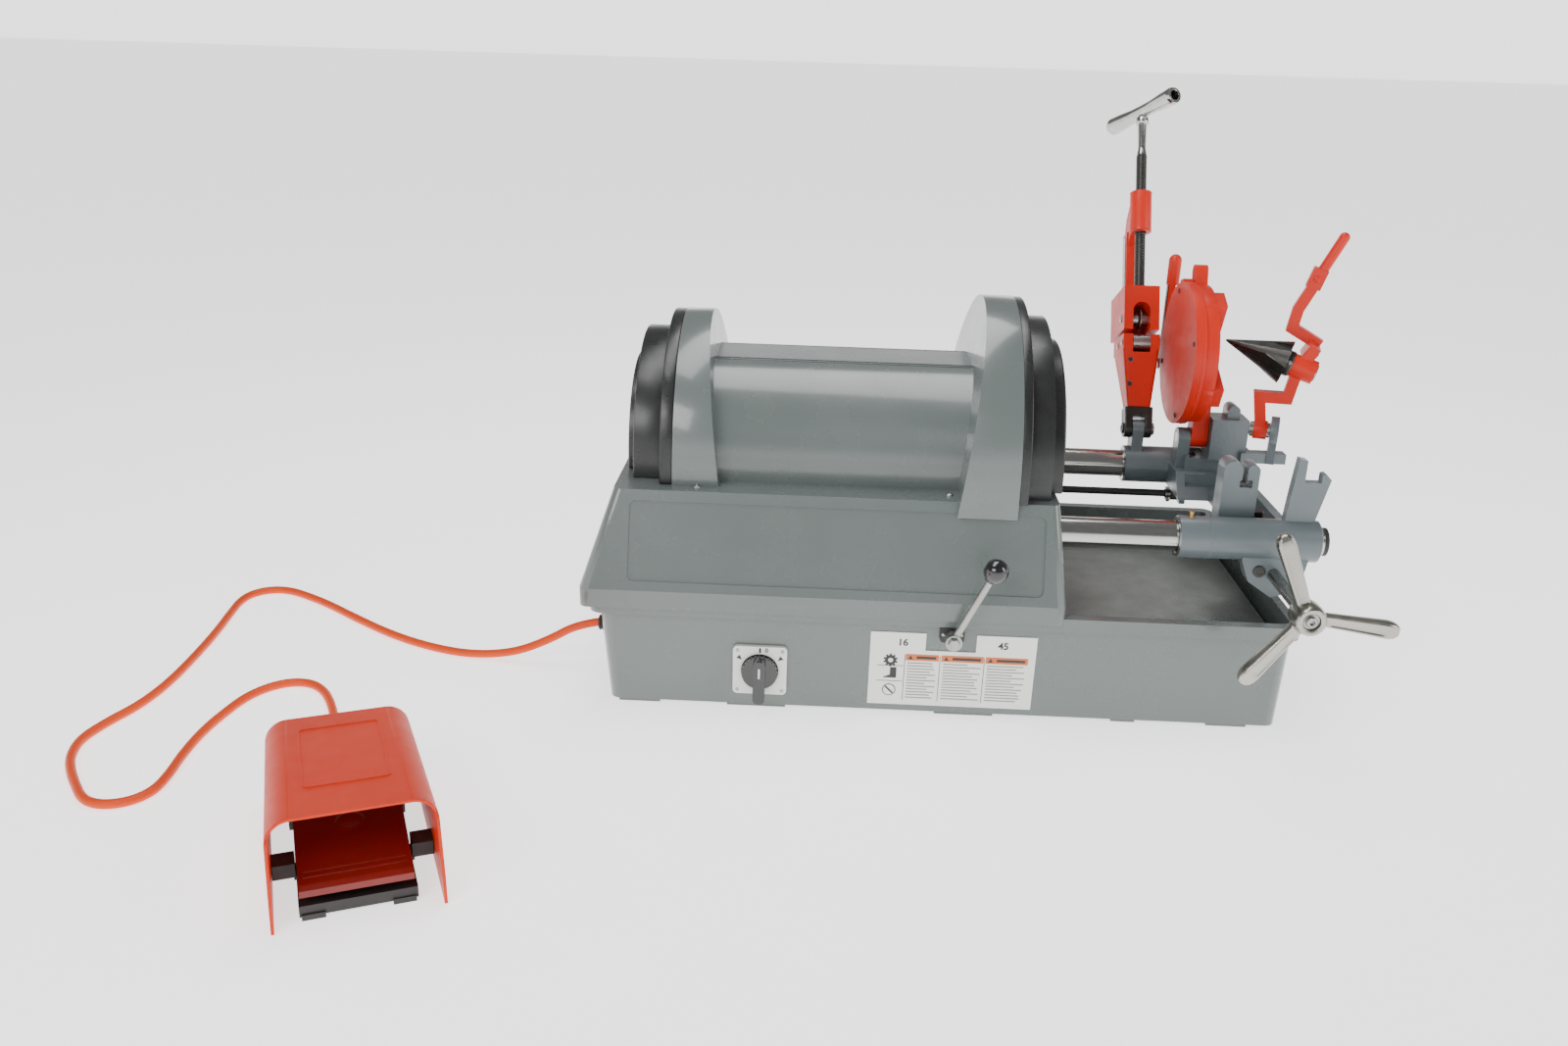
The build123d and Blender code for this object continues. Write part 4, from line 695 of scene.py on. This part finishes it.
def make_head_details():
    for k in range(4):
        add_piece(f"plate_bolt_{k}", socket_bolt("plate_bolt", 4.8, 2.4), "die_head", "machined_steel",
                  bevel=0.3,
                  place=head_at(PLATE_FACE_X, 27 + 45 + 90 * k, 62, (-1, 0, 0)))
        add_piece(f"plate_screw_{k}", pan_screw("plate_screw", 3.2, 1.2), "die_head", "dark_steel",
                  place=head_at(PLATE_FACE_X, 27 + 90 * k, 56, (-1, 0, 0)))
    ticks = []
    for k in range(60):
        size = 2.6 if k % 5 else 4.4
        ticks.append(placed(prism("tick", rectangle(size, 0.8), -0.05, 0.35),
                            head_at(PLATE_FACE_X, 6 * k, 70.5 - size / 2, (-1, 0, 0))))
    add_piece("plate_ticks", join_meshes("plate_ticks", ticks), "die_head", "dark_steel", smooth_angle=5)
    for number, (angle, text) in enumerate(((117, "1"), (207, "2"), (297, "3"), (27, "4"))):
        font = bpy.data.curves.new("chaser_number", "FONT")
        font.body = text
        font.size = 0.011
        font.extrude = 0.0002
        font.align_x = font.align_y = "CENTER"
        sign = bpy.data.objects.new(f"chaser_number_{number + 1}", font)
        bpy.context.scene.collection.objects.link(sign)
        turn = math.radians(angle)
        radial = Vector((0, math.cos(turn), math.sin(turn)))
        sign.matrix_world = facing(HEAD_CENTRE + Vector((334.3, 0, 0)) + radial * 49, (0, -1, 0),
                                   (-1, 0, 0))
        font.materials.append(MATERIALS["dark_steel"])
        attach(sign, "die_head")
    bead = lathe("ring_bead", [(97.05, -0.9), (97.3, -0.6), (97.3, 0.6), (97.05, 0.9)], 120)
    add_piece("ring_bead", bead, "cam_ring", "red_enamel",
              place=facing(HEAD_CENTRE + Vector((339.5, 0, 0)), (0, 1, 0), (1, 0, 0)))
    for k, angle in enumerate((70, 160, 250, 340)):
        add_piece(f"ring_screw_{k}", socket_bolt("ring_screw", 3.8, 1.2), "cam_ring", "dark_steel",
                  bevel=0.2,
                  place=head_at(329, angle, 86, (-1, 0, 0)))
    strip = prism("trip_strip", rectangle(9, 112, 2), 0, 1.2)
    add_piece("trip_strip", strip, "trip_lever", "dark_steel", bevel=0.3,
              place=facing((331.5, 229.8, 428), (0, -1, 0), (-1, 0, 0)))
    cap = lathe("trip_cap", [(8, 0), (8, 2.2), (6.6, 3.4), (3, 3.4), (2.6, 2), (0.01, 2)], 32)
    add_piece("trip_cap", cap, "trip_lever", "machined_steel",
              place=facing((331.5, 228.8, 366), (0, -1, 0), (-1, 0, 0)))


# ---- reamer details -----------------------------------------------------------------
REAMER_PIVOT = Vector((447.0, 98.5, 307.3))
REAMER_ALONG = Vector((math.cos(math.radians(16)), -math.sin(math.radians(16)), 0))


def raised(place):
    turn = Matrix.Rotation(math.radians(-96), 4, REAMER_ALONG)
    pivot = Matrix.Translation(REAMER_PIVOT * MM)
    return pivot @ turn @ pivot.inverted() @ place


def make_reamer_details():
    collar = lathe("cone_collar", [(17.05, 0.4), (17.5, 1.2), (17.5, 6.8), (17.05, 7.6)], 60)
    add_piece("cone_collar", collar, "reamer", "dark_steel",
              place=raised(facing((441.5, 0, 297), (0, 1, 0), (1, 0, 0))))
    for k in range(3):
        turn = math.radians(120 * k + 20)
        out = Vector((0, math.cos(turn), math.sin(turn)))
        add_piece(f"cone_screw_{k}", socket_bolt("cone_screw", 2.6, 0.8), "reamer", "machined_steel",
                  place=raised(facing(SPINDLE + Vector((445.5, 0, 0)) + out * 17.4, (1, 0, 0), out)))
    plug = lathe("boss_plug", [(12, 0), (12, 1.4), (10.8, 2.2), (5, 2.2), (4.4, 1), (0.01, 1)], 36)
    add_piece("boss_plug", plug, "reamer", "machined_steel", bevel=0.2,
              place=raised(facing((481.5, 0, 297), (0, 1, 0), (1, 0, 0))))
    back = Vector((-REAMER_ALONG.y, REAMER_ALONG.x, 0))
    centre = REAMER_PIVOT + back * 28 + REAMER_ALONG * 47 + Vector((0, 0, 207))
    rivet = lathe("grip_rivet", [(4.6, 0), (4.4, 1.0), (3.2, 1.9), (0.01, 2.3)], 24)
    add_piece("grip_rivet", rivet, "reamer", "red_enamel", place=facing(centre, REAMER_ALONG, -back))


# ---- controls -----------------------------------------------------------------------
def printed(name, outlines, place, material, height=0.25, body="machine", slot="label_white"):
    meshes = [prism(name, outline, 0, height) for outline in outlines]
    return add_piece(name, join_meshes(name, meshes), body, slot, material=material, place=place,
                     smooth_angle=5)


def number(name, text, size, place, body="machine", slot="label_white"):
    font = bpy.data.curves.new(name, "FONT")
    font.body = text
    font.size = size * MM
    font.extrude = 0.00012
    font.offset = 0.00035 * size / 13
    font.align_x = font.align_y = "CENTER"
    sign = bpy.data.objects.new(name, font)
    bpy.context.scene.collection.objects.link(sign)
    sign.matrix_world = place
    font.materials.append(MATERIALS["print_black"])
    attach(sign, body)


COLUMNS = ((-37.0, 41), (12.5, 52), (67.0, 52))


def make_label():
    place = wall(16, 66, 1.32)
    printed("label_bars_orange", [rectangle(w, 9, cx=x, cy=17.0) for x, w in COLUMNS], place,
            "print_orange")
    marks = []
    for x, width in COLUMNS:
        marks.append([(x - width / 2 + 3, 14.4), (x - width / 2 + 9, 14.4), (x - width / 2 + 6, 19.8)])
        marks.append(rectangle(width - 17, 3.4, cx=x + 5, cy=17.0))
    printed("label_marks", marks, placed_lift(place, 0.3), "print_black")
    lines = []
    for x, width in COLUMNS:
        for row in range(13):
            length = (width - 5) * (0.62 + 0.38 * abs(math.sin(1.7 * row + x)))
            lines.append(rectangle(length, 1.5, cx=x - (width - 5 - length) / 2, cy=9.0 - row * 4.1))
    printed("label_lines", lines, place, "print_grey")
    cog = []
    for k in range(20):
        radius = 9.0 if k % 2 else 7.0
        for half in (-0.5, 0.5):
            turn = 2 * math.pi * (k + half * 0.9) / 20
            cog.append((-76 + radius * math.cos(turn), 12 + radius * math.sin(turn)))
    shoe = [(-84, -12), (-76, -9), (-76, 2), (-68, 2), (-68, -13), (-84, -13)]
    printed("label_symbols", [cog, shoe], place, "print_black")
    printed("label_rings", [circle(8.4, 40, -76, -30)], place, "print_black")
    rules = [rectangle(0.7, 64, cx=x, cy=-12) for x in (-58.5, -15.0, 39.5)]
    rules += [rectangle(32, 0.7, cx=-76, cy=y) for y in (4.4, -17.5)]
    printed("label_rules", rules, place, "print_black")
    printed("label_ring_fields", [circle(3.0, 24, -76, 12), circle(7.2, 40, -76, -30)],
            placed_lift(place, 0.15), "label_white")
    printed("label_ring_bar", [[(-81.6, -26), (-80, -24.4), (-70.4, -34), (-72, -35.6)]],
            placed_lift(place, 0.4), "print_black")
    number("speed_low", "16", 13, wall(-46, 103, 1.4))
    number("speed_high", "45", 13, wall(77, 103, 1.4))


def placed_lift(place, lift):
    return place @ Matrix.Translation((0, 0, lift * MM))


def make_switch():
    place = wall(-221.7, 57, 5.12)
    printed("switch_ring", [circle(23.5, 60)], place, "knob_black", 0.6, slot="plate_white")
    marks = [rectangle(2.2, 6.5, cx=0, cy=28.6), [(-29.5, 17), (-25, 21.5), (-22.6, 15)],
             [(29.5, 17), (25, 21.5), (22.6, 15)]]
    printed("switch_marks", marks, place, "print_black", 0.3, slot="plate_white")
    number("switch_zero", "0", 8, wall(-213.5, 85.6, 5.2), slot="plate_white")
    grip = wall(-221.7, 57, 24.05)
    printed("switch_pointer", [rectangle(2.2, 14, 0.9, cx=0, cy=6)], grip, "plate_white", 0.25,
            "switch_knob", "knob_black")
    for k, (x, y) in enumerate(((-28, -28), (28, -28), (-28, 28), (28, 28))):
        add_piece(f"switch_screw_{k}", pan_screw("switch_screw", 2.4, 1.0), "machine", "machined_steel",
                  place=place @ Matrix.Translation(Vector((x, y, 0)) * MM))
    ribs = []
    for k in range(24):
        turn = math.radians(15 * k)
        ribs.append(placed(lathe("knob_rib", [(1.3, 0), (1.3, 6.6), (0.7, 7.4), (0.01, 7.5)], 8),
                           Matrix.Translation(Vector((21.6 * math.cos(turn), 21.6 * math.sin(turn),
                                                      0)) * MM)))
    add_piece("switch_ribs", join_meshes("switch_ribs", ribs), "switch_knob", "knob_black",
              place=wall(-221.7, 57, 5.5))


def make_lever_details():
    for k, x in enumerate((-11, 11)):
        add_piece(f"bezel_screw_{k}", pan_screw("bezel_screw", 2.2, 0.9), "machine", "machined_steel",
                  place=wall(12.8 + x, 119, 6.1))
    nut = hex_bolt("lever_nut", 13, 5)
    add_piece("lever_nut", nut, "shift_lever", "machined_steel", bevel=0.4,
              place=facing((12.8, -246, 119), (1, 0, 0), (0, -1, 0)))


# ---- floor pedal details ------------------------------------------------------------
def make_pedal_details():
    frame_out, frame_in = rectangle(84, 150, 6, cx=80.8, cy=150), rectangle(80, 146, 5, cx=80.8, cy=150)
    slope = (113.7 - 89) / 268
    count = len(frame_out)
    points = []
    for lift in (-0.2, 0.9):
        for outline in (frame_out, frame_in):
            points += [(x, y, 113.7 - slope * y + lift) for x, y in outline]
    faces = []
    for k in range(count):
        nxt = (k + 1) % count
        faces += [(2 * count + k, 2 * count + nxt, 3 * count + nxt, 3 * count + k),
                  (k, nxt, 2 * count + nxt, 2 * count + k),
                  (count + k, 3 * count + k, 3 * count + nxt, count + nxt)]
    add_piece("guard_outline", mesh_of("guard_outline", points, faces), "machine", "guard_orange",
              place=FOOT, bevel=0.25)
    for k, (x, side) in enumerate(((1.6, -1), (160.0, 1))):
        for y in (74, 196):
            rivet = lathe("guard_rivet", [(5.2, 0), (5.0, 1.0), (3.6, 2.0), (0.01, 2.4)], 24)
            add_piece(f"guard_rivet_{k}_{y}", rivet, "machine", "bracket_black",
                      place=FOOT @ facing((x + side * -0.6, y, 26), (0, 1, 0), (side, 0, 0)))
    tilt = math.atan2(56 - 34, 188 - 22)
    tread = facing((80.8, 105, 45.1), (1, 0, 0), (0, -math.sin(tilt), math.cos(tilt)))
    dimple = lathe("pedal_dimple",
                   [(15, 0.05), (13.6, 0.9), (11.6, 1.2), (9.8, 0.8), (7.5, 0.3), (4, 0.12), (0.01, 0.1)],
                   48)
    add_piece("pedal_dimple", dimple, "pedal", "pedal_red", place=FOOT @ tread)
    ribs = [prism("pedal_rib", rectangle(98, 2.0, 0.9, cx=0, cy=y), -0.3, 1.0) for y in (-74, -66)]
    add_piece("pedal_ribs", join_meshes("pedal_ribs", ribs), "pedal", "pedal_red", place=FOOT @ tread,
              bevel=0.4)
    cap = lathe("pedal_pin_cap", [(6, 0), (6, 2), (5, 2.8), (0.01, 2.8)], 24)
    for name, x in (("left", -1), ("right", 1)):
        add_piece("pedal_pin_cap_" + name, cap.copy(), "pedal", "machined_steel",
                  place=FOOT @ facing((81 + x * 65, 196, 50), (0, 1, 0), (x, 0, 0)))
    rings = [placed(lathe("relief_ring",
                          [(7.2 - 0.22 * k, -1.1), (8.6 - 0.25 * k, -0.6), (8.6 - 0.25 * k, 0.6),
                           (7.2 - 0.22 * k, 1.1)], 32),
                    FOOT @ facing((81, 244 + 3.4 * k, 26), (1, 0, 0), (0, 1, 0))) for k in range(5)]
    add_piece("pedal_relief_rings", join_meshes("pedal_relief_rings", rings), "machine", "rubber_black")
    rings = [placed(lathe("gland_ring", [(9.2, -1.2), (10.4, -0.7), (10.4, 0.7), (9.2, 1.2)], 32),
                    facing((-427 - 3.6 * k, -106, 66), (0, 1, 0), (1, 0, 0))) for k in range(4)]
    add_piece("gland_rings", join_meshes("gland_rings", rings), "machine", "rubber_black")


make_materials()
make_camera()
make_studio()
make_cord()
dress_nodes()
make_screen()
make_housing_details()
make_hose_clamp()
make_carriage_details()
make_handwheel()
make_cutter_details()
make_head_details()
make_reamer_details()
make_label()
make_switch()
make_lever_details()
make_pedal_details()
